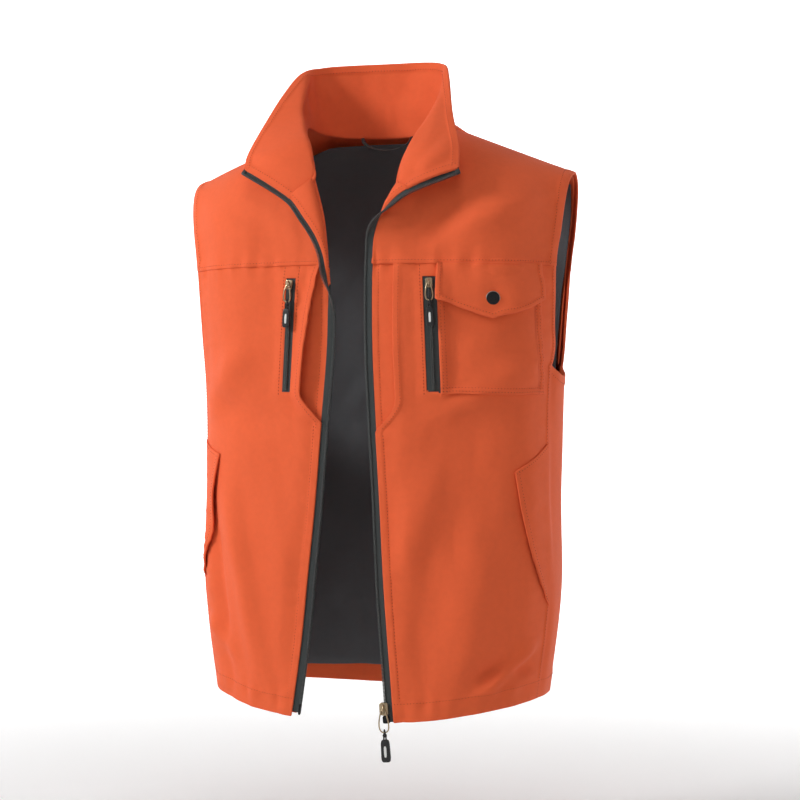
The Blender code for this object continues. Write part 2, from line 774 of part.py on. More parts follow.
def build():
    cloth = new_material("orange_shell", ORANGE, 0.85)
    inner_cloth = new_material("orange_facing", ORANGE_INSIDE, 0.85)
    lining = new_material("grey_lining", LINING_GREY, 0.75)
    stiffener = new_material("collar_stiffener", (0.70, 0.70, 0.68), 0.90)
    tape_cloth = new_material("zip_tape", ZIP_GREY, 0.80)
    chain = new_material("zip_elements", ZIP_GREY, 0.45)
    brass = new_material("aged_brass", BRASS, 0.38, 1.0)
    gunmetal = new_material("black_snap", BLACK, 0.35, 0.8)
    cord_black = new_material("puller_cord", BLACK, 0.80)
    rubber = new_material("puller_rubber", BLACK, 0.55)

    front_panels(cloth, lining)
    side_panels(cloth)
    back_panels(cloth, lining)
    back_yoke(cloth)
    front_yokes(cloth)
    armhole_facings(inner_cloth)
    collar(cloth, inner_cloth, stiffener)
    lapel_facings(inner_cloth)
    hanger_loop(cord_black)
    lower_zips(tape_cloth, chain)
    upper_zips(tape_cloth, chain)
    zip_ends(brass)
    main_slider(brass, cord_black, rubber)
    chest_zips(tape_cloth, chain, brass, cord_black, rubber)
    flap_pocket(cloth, brass, gunmetal)
    pocket_bags(lining)
    hand_welts(cloth)


build()
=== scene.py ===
"""Looks of the blaze orange vest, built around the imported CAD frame.

Every cloth panel follows the same smooth body surfaces as the CAD, in metres, with the wearer facing -Y and
the wearer's left at +X. A panel is made for the +X half and mirrored by its side (+1 left, -1 right).
"""
import json
import math

import bpy
import numpy as np
from mathutils import Matrix, Vector


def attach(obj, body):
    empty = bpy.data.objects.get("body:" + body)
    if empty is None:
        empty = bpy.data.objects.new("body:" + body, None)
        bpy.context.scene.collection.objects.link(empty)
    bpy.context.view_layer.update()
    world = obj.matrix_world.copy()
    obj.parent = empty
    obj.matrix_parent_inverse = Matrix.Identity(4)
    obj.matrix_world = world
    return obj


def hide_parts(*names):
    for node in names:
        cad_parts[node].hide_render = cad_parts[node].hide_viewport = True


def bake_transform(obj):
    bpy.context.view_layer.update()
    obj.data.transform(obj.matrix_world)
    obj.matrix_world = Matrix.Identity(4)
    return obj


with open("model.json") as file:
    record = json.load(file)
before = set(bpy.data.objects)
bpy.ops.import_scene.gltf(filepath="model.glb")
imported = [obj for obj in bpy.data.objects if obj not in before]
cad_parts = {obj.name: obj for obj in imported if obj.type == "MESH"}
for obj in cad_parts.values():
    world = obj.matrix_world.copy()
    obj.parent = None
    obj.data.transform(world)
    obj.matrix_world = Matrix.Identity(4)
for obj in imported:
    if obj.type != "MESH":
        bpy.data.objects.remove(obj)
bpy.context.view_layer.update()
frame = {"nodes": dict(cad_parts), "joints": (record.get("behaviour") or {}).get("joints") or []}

# ------------------------------------------------------------------ sizes, worked out as in the CAD
HEM_SIDE = -0.645
HEM_DROP = 0.023
YOKE_Z = -0.164
ARMPIT_Z = -0.275
FRONT_DEPTH = 0.124
BACK_DEPTH = 0.110
FRONT_BREAK = -0.190
BACK_BREAK = -0.150
ROUND = 2.4
SEAM_RATIO = 0.978
SHOULDER_Y = 0.012
SHOULDER_DROP = 0.058
SHOULDER_HALF = 0.227
NECK_HALF = 0.080
BACK_NECK_RISE = 0.016
CENTRE = -0.010
TAPE = 0.0080
WIDTHS = ((-0.670, 0.1895), (-0.530, 0.2075), (-0.400, 0.2055), (-0.275, 0.2090), (-0.058, 0.236))
ARMHOLE = {
    -1: ((-0.275, 0.2044), (-0.200, 0.2037), (-0.155, 0.2055), (-0.120, 0.2115), (-0.058, 0.2230)),
    1: ((-0.275, 0.2050), (-0.255, 0.2075), (-0.230, 0.2082), (-0.200, 0.2098), (-0.155, 0.2122),
        (-0.125, 0.2165), (-0.058, 0.2230))}
COLLAR_TOP_BACK = (
    (0.85, (0.045, 0.058, 0.084)), (1.00, (0.000, 0.064, 0.085)), (1.15, (-0.045, 0.058, 0.084)))
COLLAR_TOP = {
    -1: ((0.00, (0.1215, -0.106, -0.0545)), (0.15, (0.121, -0.090, -0.034)), (0.30, (0.113, -0.055, 0.004)),
         (0.40, (0.104, -0.020, 0.040)), (0.50, (0.094, 0.012, 0.068)),
         (0.70, (0.076, 0.042, 0.080))) + COLLAR_TOP_BACK,
    1: ((0.00, (0.1270, -0.118, -0.0620)), (0.15, (0.122, -0.098, -0.032)), (0.30, (0.106, -0.058, 0.006)),
        (0.40, (0.094, -0.020, 0.040)), (0.50, (0.084, 0.012, 0.066)),
        (0.70, (0.070, 0.042, 0.079))) + COLLAR_TOP_BACK}
CHEST_X = {1: (0.0853, 0.0898), -1: (0.0718, 0.0789)}
PLACKET_FOOT = -0.366
PLACKET_WIDTH = 0.046
CHEST_TOP = -0.1790
CHEST_BOTTOM = -0.3050
CHEST_TAPE = {1: 0.0150, -1: 0.0115}
POCKET_OUT = 0.1962
POCKET_BOTTOM = -0.3070
FLAP_SIDE_Z = -0.2035
FLAP_PEAK = 0.46
FLAP_POINT_Z = -0.2245
SNAP_X = 0.1500
SNAP_Z = -0.2030
WELT_TOP = {1: (0.1715, -0.3930), -1: (0.1665, -0.3760)}
WELT_BOTTOM = {1: (0.1990, -0.5330), -1: (0.1980, -0.5130)}
WELT_SEAM_Z = {1: (-0.3630, -0.5430), -1: (-0.3600, -0.5200)}
SIDES = ((1, "left"), (-1, "right"))
HEM_FOLD = 0.0215
HEM_STITCH = 0.0195
YOKE_FOLD = 0.0042
YOKE_STITCH = 0.0034
ARMHOLE_FOLD = 0.0100
ARMHOLE_STITCH = 0.0095
STITCH_REST = 0.0008
LINING_LIFT = -0.0070
BAG_LIFT = -0.0044


# ------------------------------------------------------------------ curves and surfaces

def keyed(keys, place):
    """Smooth curve through (place, value) keys, for an array of places; values are numbers or points."""
    at = np.array([key[0] for key in keys], float)
    values = np.array([key[1] for key in keys], float)
    last = len(keys) - 1
    slopes = np.empty_like(values)
    for i in range(last + 1):
        low, high = max(i - 1, 0), min(i + 1, last)
        slopes[i] = (values[high] - values[low]) / (at[high] - at[low])
    place = np.clip(np.asarray(place, float), at[0], at[last])
    i = np.clip(np.searchsorted(at, place, side="right") - 1, 0, last - 1)
    span = at[i + 1] - at[i]
    t = (place - at[i]) / span
    if values.ndim > 1:
        t = t[..., None]
        span = span[..., None]
    start = (2 * t ** 3 - 3 * t ** 2 + 1) * values[i] + (t ** 3 - 2 * t ** 2 + t) * span * slopes[i]
    end = (3 * t ** 2 - 2 * t ** 3) * values[i + 1] + (t ** 3 - t ** 2) * span * slopes[i + 1]
    return start + end


def mix(a, b, t):
    return a + (b - a) * t


def smooth(low, high, x):
    t = np.clip((x - low) / (high - low), 0.0, 1.0)
    return t * t * (3 - 2 * t)


def cubic(a, b, c, d, t):
    s = 1.0 - t
    return a * s ** 3 + 3 * b * s * s * t + 3 * c * s * t * t + d * t ** 3


def half_width(z):
    return keyed(WIDTHS, z)


def shoulder_z(x):
    return -SHOULDER_DROP * np.maximum(0.0, np.abs(x) - NECK_HALF) / (SHOULDER_HALF - NECK_HALF)


def neck_share(x):
    return np.maximum(0.0, 1.0 - ((x - CENTRE) / NECK_HALF) ** 2)


BEND_SHARES = np.linspace(0, 1, 4001)
BEND_HEIGHTS = cubic(0.0, 0.70, 0.95, 1.0, BEND_SHARES)


def body_point(x, z, depth, break_z, top):
    """Points of the front or back, which bends over to the shoulder seam above break_z."""
    x, z, top = np.broadcast_arrays(np.asarray(x, float), np.asarray(z, float), np.asarray(top, float))
    ratio = np.minimum(np.abs(x) / half_width(z), 0.9995)
    base = depth * (1.0 - ratio ** ROUND) ** (1.0 / ROUND)
    t = np.interp((z - break_z) / (top - break_z), BEND_HEIGHTS, BEND_SHARES)
    bend = SHOULDER_Y + 0.75 * (base - SHOULDER_Y)
    y = np.where(z <= break_z, base, cubic(base, base, bend, SHOULDER_Y, t))
    return np.stack([x, y, z], axis=-1)


def front(x, z):
    return body_point(x, z, -FRONT_DEPTH, FRONT_BREAK, shoulder_z(x))


def back(x, z):
    return body_point(x, z, BACK_DEPTH, BACK_BREAK, shoulder_z(x) + BACK_NECK_RISE * neck_share(x))


def side_wall(angle, z):
    depth = np.where(angle < 0, FRONT_DEPTH, BACK_DEPTH)
    out = half_width(z) * np.cos(angle) ** (2 / ROUND)
    y = np.sign(angle) * depth * np.abs(np.sin(angle)) ** (2 / ROUND)
    return np.stack(np.broadcast_arrays(out, y, z), axis=-1)


def hem_z(x):
    return HEM_SIDE - HEM_DROP * (1.0 - (x / half_width(HEM_SIDE)) ** 2)


def armhole_x(side, z):
    return np.where(side > 0, keyed(ARMHOLE[1], z), keyed(ARMHOLE[-1], z))


def outer_x(side, z):
    """Side seam below the armpit and armhole edge above it."""
    return np.where(z <= ARMPIT_Z, SEAM_RATIO * half_width(z), armhole_x(side, z))


def arc_x(inner, outer, share, z):
    """Distance out at a share of the way round the section, so that columns are evenly wide."""
    width = np.maximum(half_width(z), outer + 0.001)
    start = np.arcsin(np.clip(np.maximum(inner, 0.0) / width, 0, 1) ** (ROUND / 2))
    end = np.arcsin(np.clip(outer / width, 0, 1) ** (ROUND / 2))
    return width * np.sin(mix(start, end, share)) ** (2 / ROUND)


def unit(v):
    return v / np.maximum(np.linalg.norm(v, axis=-1, keepdims=True), 1e-12)


def normals_of(grid):
    """Unit normals of a grid of points whose columns run to +X and rows run up, facing -Y."""
    return unit(np.cross(np.gradient(grid, axis=1), np.gradient(grid, axis=0)))


# ------------------------------------------------------------------ drape of the cloth off the plain surface

def ripple(x, z, length, seed, stretch=1.0, count=9):
    """Smooth random waves of about the given length; stretch above 1 draws them out along z."""
    rng = np.random.default_rng(seed)
    total = np.zeros(np.broadcast(x, z).shape)
    for _ in range(count):
        turn = rng.uniform(0, math.pi)
        step = 2 * math.pi / (length * rng.uniform(0.65, 1.6))
        along = math.cos(turn) * x + math.sin(turn) * z / stretch
        total = total + np.sin(step * along + rng.uniform(0, 6.28))
    return total / math.sqrt(count / 2)


def fold(x, z, start, end, width, height):
    """A soft fold along a line on the front from start to end, height above the surface."""
    start, end = np.array(start), np.array(end)
    along = end - start
    length = np.hypot(*along)
    t = ((x - start[0]) * along[0] + (z - start[1]) * along[1]) / length ** 2
    off = ((x - start[0]) * along[1] - (z - start[1]) * along[0]) / length
    fade = smooth(-0.15, 0.3, t) * (1 - smooth(0.6, 1.15, t))
    return height * np.exp(-(off / width) ** 2) * fade


FOLDS = {
    1: (
        ((0.085, -0.335), (0.205, -0.270), 0.018, 0.0035), ((0.200, -0.575), (0.135, -0.640), 0.007, 0.0055),
        ((0.200, -0.600), (0.120, -0.622), 0.012, -0.0040), ((0.050, -0.500), (0.100, -0.380), 0.020, 0.0030),
        ((0.120, -0.640), (0.140, -0.430), 0.022, 0.0040), ((0.075, -0.650), (0.085, -0.470), 0.020, -0.0030),
        ((0.110, -0.130), (0.205, -0.085), 0.016, 0.0030),
        ((0.120, -0.100), (0.060, -0.150), 0.014, -0.0025)),
    -1: (
        ((0.160, -0.400), (0.110, -0.640), 0.016, 0.0050), ((0.185, -0.420), (0.160, -0.650), 0.010, -0.0040),
        ((0.075, -0.640), (0.085, -0.430), 0.024, 0.0035), ((0.125, -0.250), (0.195, -0.340), 0.018, 0.0035),
        ((0.100, -0.350), (0.190, -0.300), 0.014, -0.0025), ((0.110, -0.140), (0.200, -0.100), 0.016, 0.0025),
        ((0.190, -0.560), (0.150, -0.610), 0.010, 0.0035)),
}
FOLD_STRENGTH = 1.8
BACK_FOLDS = (
    ((-0.150, -0.640), (-0.120, -0.330), 0.020, 0.0045), ((0.060, -0.640), (0.090, -0.360), 0.024, 0.0045),
    ((0.150, -0.300), (0.060, -0.420), 0.020, 0.0035), ((-0.160, -0.280), (-0.040, -0.400), 0.020, 0.0035),
    ((-0.030, -0.640), (-0.020, -0.450), 0.022, -0.0035), ((0.190, -0.350), (0.130, -0.620), 0.018, -0.0030))


def drape(side, x, z):
    """How far the cloth of a front stands off the plain surface, in metres."""
    seed = 11 if side > 0 else 23
    out = 0.0026 * ripple(x, z, 0.150, seed, stretch=2.6)
    out = out + 0.00022 * ripple(x, z, 0.034, seed + 1, stretch=2.2)
    for start, end, width, height in FOLDS[side]:
        out = out + FOLD_STRENGTH * fold(x, z, start, end, width, height)
    edge = x - edge_x(side, z)
    rim = outer_x(side, z) - x
    hem = z - hem_z(x)
    off_zip = np.hypot(x - zip_x(side, z), beyond_zip(z))
    calm = smooth(0.004, 0.030, edge) * smooth(0.001, 0.020, rim) * smooth(0.006, 0.028, off_zip)
    calm = calm * smooth(0.0, 0.045, shoulder_z(x) - z)
    if side > 0:
        calm = calm * smooth(0.008, 0.024, np.hypot(x - SNAP_X, z - SNAP_Z))
    out = out * calm
    seams = 0.00090 * np.exp(-np.abs(z - YOKE_Z) / 0.010) * ripple(x, 0 * x, 0.013, seed + 2)
    seams = seams + 0.00085 * np.exp(-np.abs(hem - 0.016) / 0.010) * ripple(x, z * 0.2, 0.017, seed + 3)
    seams = seams + 0.00040 * np.exp(-np.abs(edge - 0.010) / 0.008) * ripple(0 * x, z, 0.012, seed + 4)
    seams = seams + 0.00060 * np.exp(-np.abs(rim - 0.010) / 0.010) * ripple(0 * x, z, 0.014, seed + 5)
    return out + seams * smooth(0.0, 0.004, edge) * smooth(0.0, 0.006, rim) * smooth(0.004, 0.014, off_zip)


def draped(surface, height, x, z, lift, sign):
    """Surface points moved out by a drape height and a lift, and the draped surface's normals."""
    x, z = np.broadcast_arrays(np.asarray(x, float), np.asarray(z, float))
    step = 0.0006
    shifts = ((step, 0), (-step, 0), (0, step), (0, -step))
    around = [surface(x + a, z + b) for a, b in shifts]
    plain = sign * unit(np.cross(around[0] - around[1], around[2] - around[3]))
    raised = [p + plain * height(x + a, z + b)[..., None] for p, (a, b) in zip(around, shifts)]
    out = sign * unit(np.cross(raised[0] - raised[1], raised[2] - raised[3]))
    middle = surface(x, z) + plain * height(x, z)[..., None]
    return middle + out * np.asarray(lift, float)[..., None], out


def front_skin(side, x, z, lift=0.0):
    """Draped front at a height over the shell's middle, with its normals, for the +X half."""
    return draped(front, lambda a, b: drape(side, a, b), x, z, lift, 1)


def back_drape(x, z):
    out = 0.0020 * ripple(x, z, 0.120, 41, stretch=1.8) + 0.0005 * ripple(x, z, 0.035, 42, stretch=1.3)
    for start, end, width, height in BACK_FOLDS:
        out = out + fold(x, z, start, end, width, height)
    rim = outer_x(x, z) - np.abs(x)
    out = out * smooth(0.001, 0.022, rim) * smooth(0.0, 0.045, shoulder_z(x) - z)
    seams = 0.0005 * np.exp(-np.abs(z - YOKE_Z) / 0.010) * ripple(x, 0 * x, 0.013, 43)
    seams = seams + 0.0006 * np.exp(-np.abs(z - hem_z(x) - 0.016) / 0.010) * ripple(x, z * 0.2, 0.018, 44)
    return out + seams * smooth(0.0, 0.006, rim)


def back_skin(x, z, lift=0.0):
    return draped(back, back_drape, x, z, lift, -1)


# ------------------------------------------------------------------ cloth pieces

def stations(length, spacing, fine=0.009):
    """Shares along a length, close together near both ends where edges roll and hems lie."""
    near = np.array([0.0, 0.0006, 0.0012, 0.0020, 0.0034, 0.0048, 0.0058, 0.0066, 0.0076, fine])
    middle = np.arange(fine, length - fine, spacing)[1:]
    every = np.concatenate([near, middle, length - near[::-1]])
    return np.unique(np.clip(every / length, 0, 1))


def new_mesh(name, points, faces, uvs=None):
    mesh = bpy.data.meshes.new(name)
    mesh.from_pydata([tuple(p) for p in points], [], faces)
    mesh.polygons.foreach_set("use_smooth", [True] * len(mesh.polygons))
    if uvs is not None:
        layer = mesh.uv_layers.new(name="cloth")
        corner = np.array([loop.vertex_index for loop in mesh.loops])
        layer.data.foreach_set("uv", np.asarray(uvs, float)[corner].ravel())
    mesh.validate()
    mesh.update()
    made = bpy.data.objects.new(name, mesh)
    bpy.context.scene.collection.objects.link(made)
    return made


def mirror_of(side):
    """Factors that carry a point of the +X half to its own side."""
    return np.array([side, 1.0, 1.0])


def chord_lengths(points):
    """Length from the start of a line to each of its points."""
    return np.concatenate([[0], np.cumsum(np.linalg.norm(np.diff(points, axis=0), axis=1))])


def along_line(at, lengths, values):
    """Values at some lengths along a line, from the values at its points."""
    return np.stack([np.interp(at, lengths, values[:, k]) for k in range(3)], axis=-1)


def arc_lengths(grid, axis):
    steps = np.linalg.norm(np.diff(grid, axis=axis), axis=-1)
    zero = np.zeros_like(np.take(steps, [0], axis=axis))
    return np.concatenate([zero, np.cumsum(steps, axis=axis)], axis=axis)


def border_cells(rows, columns):
    """The four sides of a grid in order round it, each with the step that leads out over it."""
    return (
        ("bottom", [(0, c) for c in range(columns)], (-1, 0)),
        ("right", [(r, columns - 1) for r in range(rows)], (0, 1)),
        ("top", [(rows - 1, c) for c in range(columns - 1, -1, -1)], (1, 0)),
        ("left", [(r, 0) for r in range(rows - 1, -1, -1)], (0, -1)))


class Panel:
    """A cloth panel: its middle grid, normals, outer face and edge distances, and the object made of it."""

    def __init__(self, name, grid, normals, side=1, thick=0.0012, hems=None, puff=0.0007, flat_ends=()):
        self.grid = grid
        self.normals = normals
        self.side = side
        self.across = arc_lengths(grid, 1)
        self.up = arc_lengths(grid, 0)
        self.from_edge = {
            "left": self.across, "right": self.across[:, -1:] - self.across,
            "bottom": self.up, "top": self.up[-1:, :] - self.up}
        raised = np.zeros(grid.shape[:2])
        for edge, width in (hems or {}).items():
            distance = self.from_edge[edge]
            raised = np.maximum(raised, puff * smooth(-0.0012, 0.0004, width - distance))
        self.outer = grid + normals * (thick / 2 + raised)[..., None]
        inner = grid - normals * (thick / 2 + 0.3 * raised)[..., None]
        self.object = self.close(name, inner, flat_ends)
        self.area = float(self.face_area())
        self.size = (float(self.across[:, -1].max()), float(self.up[-1, :].max()))

    def face_area(self):
        a = self.grid[1:, 1:] - self.grid[:-1, :-1]
        b = self.grid[1:, :-1] - self.grid[:-1, 1:]
        return 0.5 * np.linalg.norm(np.cross(a, b), axis=-1).sum()

    def rolled_end(self, inner, cell, step, flat):
        """Three points that lead from the outer face round to the inner one at a cell of the border."""
        r, c = cell
        away = self.grid[r, c] - self.grid[r - step[0], c - step[1]]
        away = away / max(np.linalg.norm(away), 1e-9)
        half = np.linalg.norm(self.outer[r, c] - inner[r, c]) / 2
        middle = (self.outer[r, c] + inner[r, c]) / 2
        row = []
        for angle in (math.pi / 4, 0.0, -math.pi / 4):
            reach = 0.0 if flat else 0.8 * math.cos(angle)
            turned = away * reach + self.normals[r, c] * math.sin(angle)
            row.append(middle + turned * half)
        return row

    def close(self, name, inner, flat_ends):
        """Both faces, joined round the border by a rolled edge or, where halves meet, by a flat one."""
        rows, columns = self.grid.shape[:2]
        count = rows * columns
        mirror = mirror_of(self.side)
        points = [self.outer.reshape(-1, 3) * mirror, inner.reshape(-1, 3) * mirror]
        uv = np.stack([self.across, self.up], axis=-1).reshape(-1, 2)
        uvs = [uv, uv]
        faces = []
        index = np.arange(count).reshape(rows, columns)
        quads = np.stack([index[:-1, :-1], index[:-1, 1:], index[1:, 1:], index[1:, :-1]], -1).reshape(-1, 4)
        flip = self.side < 0
        faces += [tuple(q[::-1]) if flip else tuple(q) for q in quads]
        faces += [tuple(q + count) if flip else tuple(q[::-1] + count) for q in quads]
        total = 2 * count
        for edge, cells, step in border_cells(rows, columns):
            flat = edge in flat_ends
            bend = np.array([self.rolled_end(inner, cell, step, flat) for cell in cells]) * mirror
            points.append(bend.reshape(-1, 3))
            rim = np.array([r * columns + c for r, c in cells])
            uvs.append(np.repeat(uv[rim], 3, axis=0))
            ids = total + np.arange(len(cells) * 3).reshape(-1, 3)
            total += len(cells) * 3
            chain = np.column_stack([rim, ids, count + rim])
            for i in range(len(cells) - 1):
                for k in range(4):
                    quad = (chain[i, k], chain[i, k + 1], chain[i + 1, k + 1], chain[i + 1, k])
                    faces.append(quad[::-1] if flip else quad)
        made = new_mesh(name, np.concatenate(points), [tuple(int(i) for i in f) for f in faces],
                        np.concatenate(uvs))
        if flat_ends:
            ends = {r * columns for r in range(rows)}
            ends |= {count + i for i in ends}
            sharp = made.data.attributes.new("sharp_edge", "BOOLEAN", "EDGE")
            at_end = [e.vertices[0] in ends and e.vertices[1] in ends for e in made.data.edges]
            sharp.data.foreach_set("value", at_end)
        return made

    def line(self, edge, distance, start=0.0, end=1.0):
        """Points and normals on the outer face along a line at a distance from an edge."""
        away = self.from_edge[edge]
        by_row = edge in ("left", "right")
        runs = range(self.grid.shape[0]) if by_row else range(self.grid.shape[1])
        points, outs = [], []
        for i in runs:
            d = away[i] if by_row else away[:, i]
            face = self.outer[i] if by_row else self.outer[:, i]
            out = self.normals[i] if by_row else self.normals[:, i]
            order = np.argsort(d)
            points.append([np.interp(distance, d[order], face[order, k]) for k in range(3)])
            outs.append([np.interp(distance, d[order], out[order, k]) for k in range(3)])
        points, outs = np.array(points), np.array(outs)
        low, high = int(start * (len(points) - 1)), int(math.ceil(end * (len(points) - 1)))
        mirror = mirror_of(self.side)
        return points[low:high + 1] * mirror, outs[low:high + 1] * mirror


def resample(points, outs, spacing):
    """Evenly spaced places along a line, with directions and normals."""
    lengths = chord_lengths(points)
    places = np.arange(spacing / 2, lengths[-1] - spacing / 4, spacing)
    reach = spacing * 0.3
    along = unit(along_line(places + reach, lengths, points) - along_line(places - reach, lengths, points))
    out = unit(along_line(places, lengths, outs))
    return along_line(places, lengths, points), along, unit(np.cross(along, out)), out


class Marks:
    """Many small like solids, such as stitches or zip elements, gathered in one mesh."""

    def __init__(self):
        self.points = []
        self.faces = []

    def add(self, shape, faces, centre, axes):
        for i in range(len(centre)):
            base = len(self.points)
            turn = np.stack([axes[0][i], axes[1][i], axes[2][i]])
            self.points.extend(shape @ turn + centre[i])
            self.faces.extend(tuple(base + k for k in face) for face in faces)

    def make(self, name):
        return new_mesh(name, self.points, self.faces)


STITCH_FACES = ((0, 2, 4), (0, 4, 3), (0, 3, 5), (0, 5, 2), (1, 4, 2), (1, 3, 4), (1, 5, 3), (1, 2, 5))


def stitch(marks, line, spacing=0.0036, length=0.0027, thread=0.00050):
    points, outs = line
    if len(points) < 2:
        return
    centre, along, across, out = resample(points, outs, spacing)
    shape = np.array([(-length / 2, 0, -thread), (length / 2, 0, -thread), (0, thread, 0), (0, -thread, 0),
                      (0, 0, thread * 0.9), (0, 0, -thread)])
    marks.add(shape, STITCH_FACES, centre, (along, across, out))


# ------------------------------------------------------------------ materials

def shader_of(name, colour, roughness, metallic=0.0, sheen=0.0):
    made = bpy.data.materials.new(name)
    made.use_nodes = True
    shader = made.node_tree.nodes["Principled BSDF"]
    shader.inputs["Base Color"].default_value = (*colour, 1.0)
    shader.inputs["Roughness"].default_value = roughness
    shader.inputs["Metallic"].default_value = metallic
    shader.inputs["Sheen Weight"].default_value = sheen
    shader.inputs["Specular IOR Level"].default_value = 0.35
    return made, shader


def math_node(tree, operation, first, second):
    node = tree.nodes.new("ShaderNodeMath")
    node.operation = operation
    for socket, value in ((node.inputs[0], first), (node.inputs[1], second)):
        if isinstance(value, bpy.types.NodeSocket):
            tree.links.new(value, socket)
        else:
            socket.default_value = value
    return node.outputs[0]


def noise(tree, space, scale, detail=3.0):
    node = tree.nodes.new("ShaderNodeTexNoise")
    node.inputs["Scale"].default_value = scale
    node.inputs["Detail"].default_value = detail
    tree.links.new(space, node.inputs["Vector"])
    return node.outputs["Fac"]


def bump(tree, shader, height, strength, distance):
    node = tree.nodes.new("ShaderNodeBump")
    node.inputs["Strength"].default_value = strength
    node.inputs["Distance"].default_value = distance
    tree.links.new(height, node.inputs["Height"])
    tree.links.new(node.outputs["Normal"], shader.inputs["Normal"])


def map_range(tree, value, start, end, low, high):
    """A value between start and end carried to the range from low to high."""
    ramp = tree.nodes.new("ShaderNodeMapRange")
    for name, bound in (("From Min", start), ("From Max", end), ("To Min", low), ("To Max", high)):
        ramp.inputs[name].default_value = bound
    tree.links.new(value, ramp.inputs["Value"])
    return ramp.outputs["Result"]


def tone(tree, shader, colour, factor, low, high):
    """Base colour that varies between two brightnesses with a factor."""
    bright = map_range(tree, factor, 0.0, 1.0, low, high)
    scale = tree.nodes.new("ShaderNodeVectorMath")
    scale.operation = "SCALE"
    scale.inputs[0].default_value = colour
    tree.links.new(bright, scale.inputs["Scale"])
    tree.links.new(scale.outputs["Vector"], shader.inputs["Base Color"])


def woven(name, colour, roughness, thread=0.0007, depth=0.00012, sheen=0.08, spread=0.05):
    """Plain weave: crossing threads in relief over a slightly uneven dye."""
    made, shader = shader_of(name, colour, roughness, sheen=sheen)
    tree = made.node_tree
    coords = tree.nodes.new("ShaderNodeTexCoord")
    heights = []
    for axis in ("X", "Y"):
        wave = tree.nodes.new("ShaderNodeTexWave")
        wave.bands_direction = axis
        wave.inputs["Scale"].default_value = math.pi / (10 * thread)
        wave.inputs["Distortion"].default_value = 0.6
        tree.links.new(coords.outputs["UV"], wave.inputs["Vector"])
        heights.append(wave.outputs["Fac"])
    bump(tree, shader, math_node(tree, "MAXIMUM", *heights), 0.5, depth)
    space = coords.outputs["Object"]
    dye = math_node(tree, "ADD", noise(tree, space, 9.0), noise(tree, space, 160.0))
    tone(tree, shader, colour, math_node(tree, "MULTIPLY", dye, 0.5), 1 - spread * 2, 1 + spread * 2)
    return made


def smooth_coat(name, colour, roughness, metallic=0.0, grain=60.0, relief=0.00005, spread=0.12):
    """Moulded or metal surface with fine wear in its colour and relief."""
    made, shader = shader_of(name, colour, roughness, metallic)
    tree = made.node_tree
    coords = tree.nodes.new("ShaderNodeTexCoord")
    grains = noise(tree, coords.outputs["Object"], grain * 10)
    bump(tree, shader, grains, 0.4, relief)
    tone(tree, shader, colour, noise(tree, coords.outputs["Object"], grain * 4), 1 - spread, 1 + spread)
    return made


ORANGE = woven("orange_shell", (0.79, 0.116, 0.033), 0.84, sheen=0.03)
ORANGE_INSIDE = woven("orange_facing", (0.78, 0.112, 0.032), 0.86, sheen=0.03)
# Stitch thread colour: dark painted shadow, standing in for the shade that falls in the seam channels over
# the stitches.
SHADOWED_THREAD = smooth_coat("thread_painted_shadow", (0.30, 0.026, 0.010), 0.80, grain=400)
GREY = woven("grey_lining", (0.070, 0.074, 0.080), 0.62, thread=0.0005)
TAPE_CLOTH = woven("zip_tape", (0.040, 0.047, 0.047), 0.78, thread=0.0010, depth=0.0003)
ELEMENTS = smooth_coat("zip_elements", (0.055, 0.060, 0.058), 0.34)
BRASS = smooth_coat("aged_brass", (0.46, 0.36, 0.23), 0.30, metallic=1.0, grain=120)
BLACK_METAL = smooth_coat("black_snap", (0.012, 0.012, 0.013), 0.30, metallic=0.4)
PALE_METAL = smooth_coat("snap_rim", (0.55, 0.50, 0.44), 0.32, metallic=1.0)
CORD = woven("puller_cord", (0.014, 0.014, 0.015), 0.75, thread=0.0006, depth=0.0002)
RUBBER = smooth_coat("puller_rubber", (0.020, 0.020, 0.021), 0.42)
WHITE = smooth_coat("puller_inset", (0.72, 0.72, 0.70), 0.50, spread=0.04)


# ------------------------------------------------------------------ putting pieces in place

def swing_side(piece, axis="y"):
    """Bakes a piece's transform into its mesh, the same for either axis."""
    if axis == "y":
        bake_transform(piece)
    else:
        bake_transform(piece)


def dress(piece, material):
    piece.data.materials.clear()
    piece.data.materials.append(material)


def as_cloth(panel, material, nodes=()):
    """Dresses a panel's object in a material and hides the CAD nodes that it stands for."""
    piece = panel.object
    dress(piece, material)
    if nodes:
        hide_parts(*nodes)
    return piece


def stitched(name, lines, side=None, body=None, axis="y", **sizes):
    """All the stitches of a group of seams in one piece."""
    marks = Marks()
    for line in lines:
        stitch(marks, line, **sizes)
    made = marks.make(name)
    # the stitches get the thread colour with painted shadow, so they read as dark shaded dashes
    dress(made, SHADOWED_THREAD)
    if body:
        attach(made, body)
    else:
        swing_side(made, axis)
    return made


# ------------------------------------------------------------------ fronts

EDGE = {
    -1: ((-0.672, 0.0640), (-0.588, 0.0516), (-0.503, 0.0425), (-0.433, 0.0350), (-0.337, 0.0270),
         (-0.260, 0.0205), (-0.200, 0.0190), (-0.164, 0.0190)),
    1: ((-0.672, 0.0572), (-0.620, 0.0534), (-0.522, 0.0460), (-0.424, 0.0409), (-0.325, 0.0352),
        (-0.259, 0.0322), (-0.200, 0.0316), (-0.164, 0.0324))}


def edge_x(side, z):
    """Edge of the cloth beside the main zip, which hangs in a gentle curve."""
    return side * CENTRE + keyed(EDGE[side], z)


def mouth_bottom(side):
    return -0.338 - 0.010 * (side > 0)


def mouth_share(side, z):
    return np.clip((z - mouth_bottom(side)) / (YOKE_Z - mouth_bottom(side)), 0, 1)


def mouth_x(side, z):
    """Front panel's inner edge, which leaves the zip to make the curved mouth of the placket pocket."""
    share = mouth_share(side, z)
    width = 0.0245 if side > 0 else 0.0235 * (1 - 0.60 * share ** 3)
    return edge_x(side, z) + width * np.sin(math.pi * np.minimum(0.62, 3.2 * share) / 1.24)


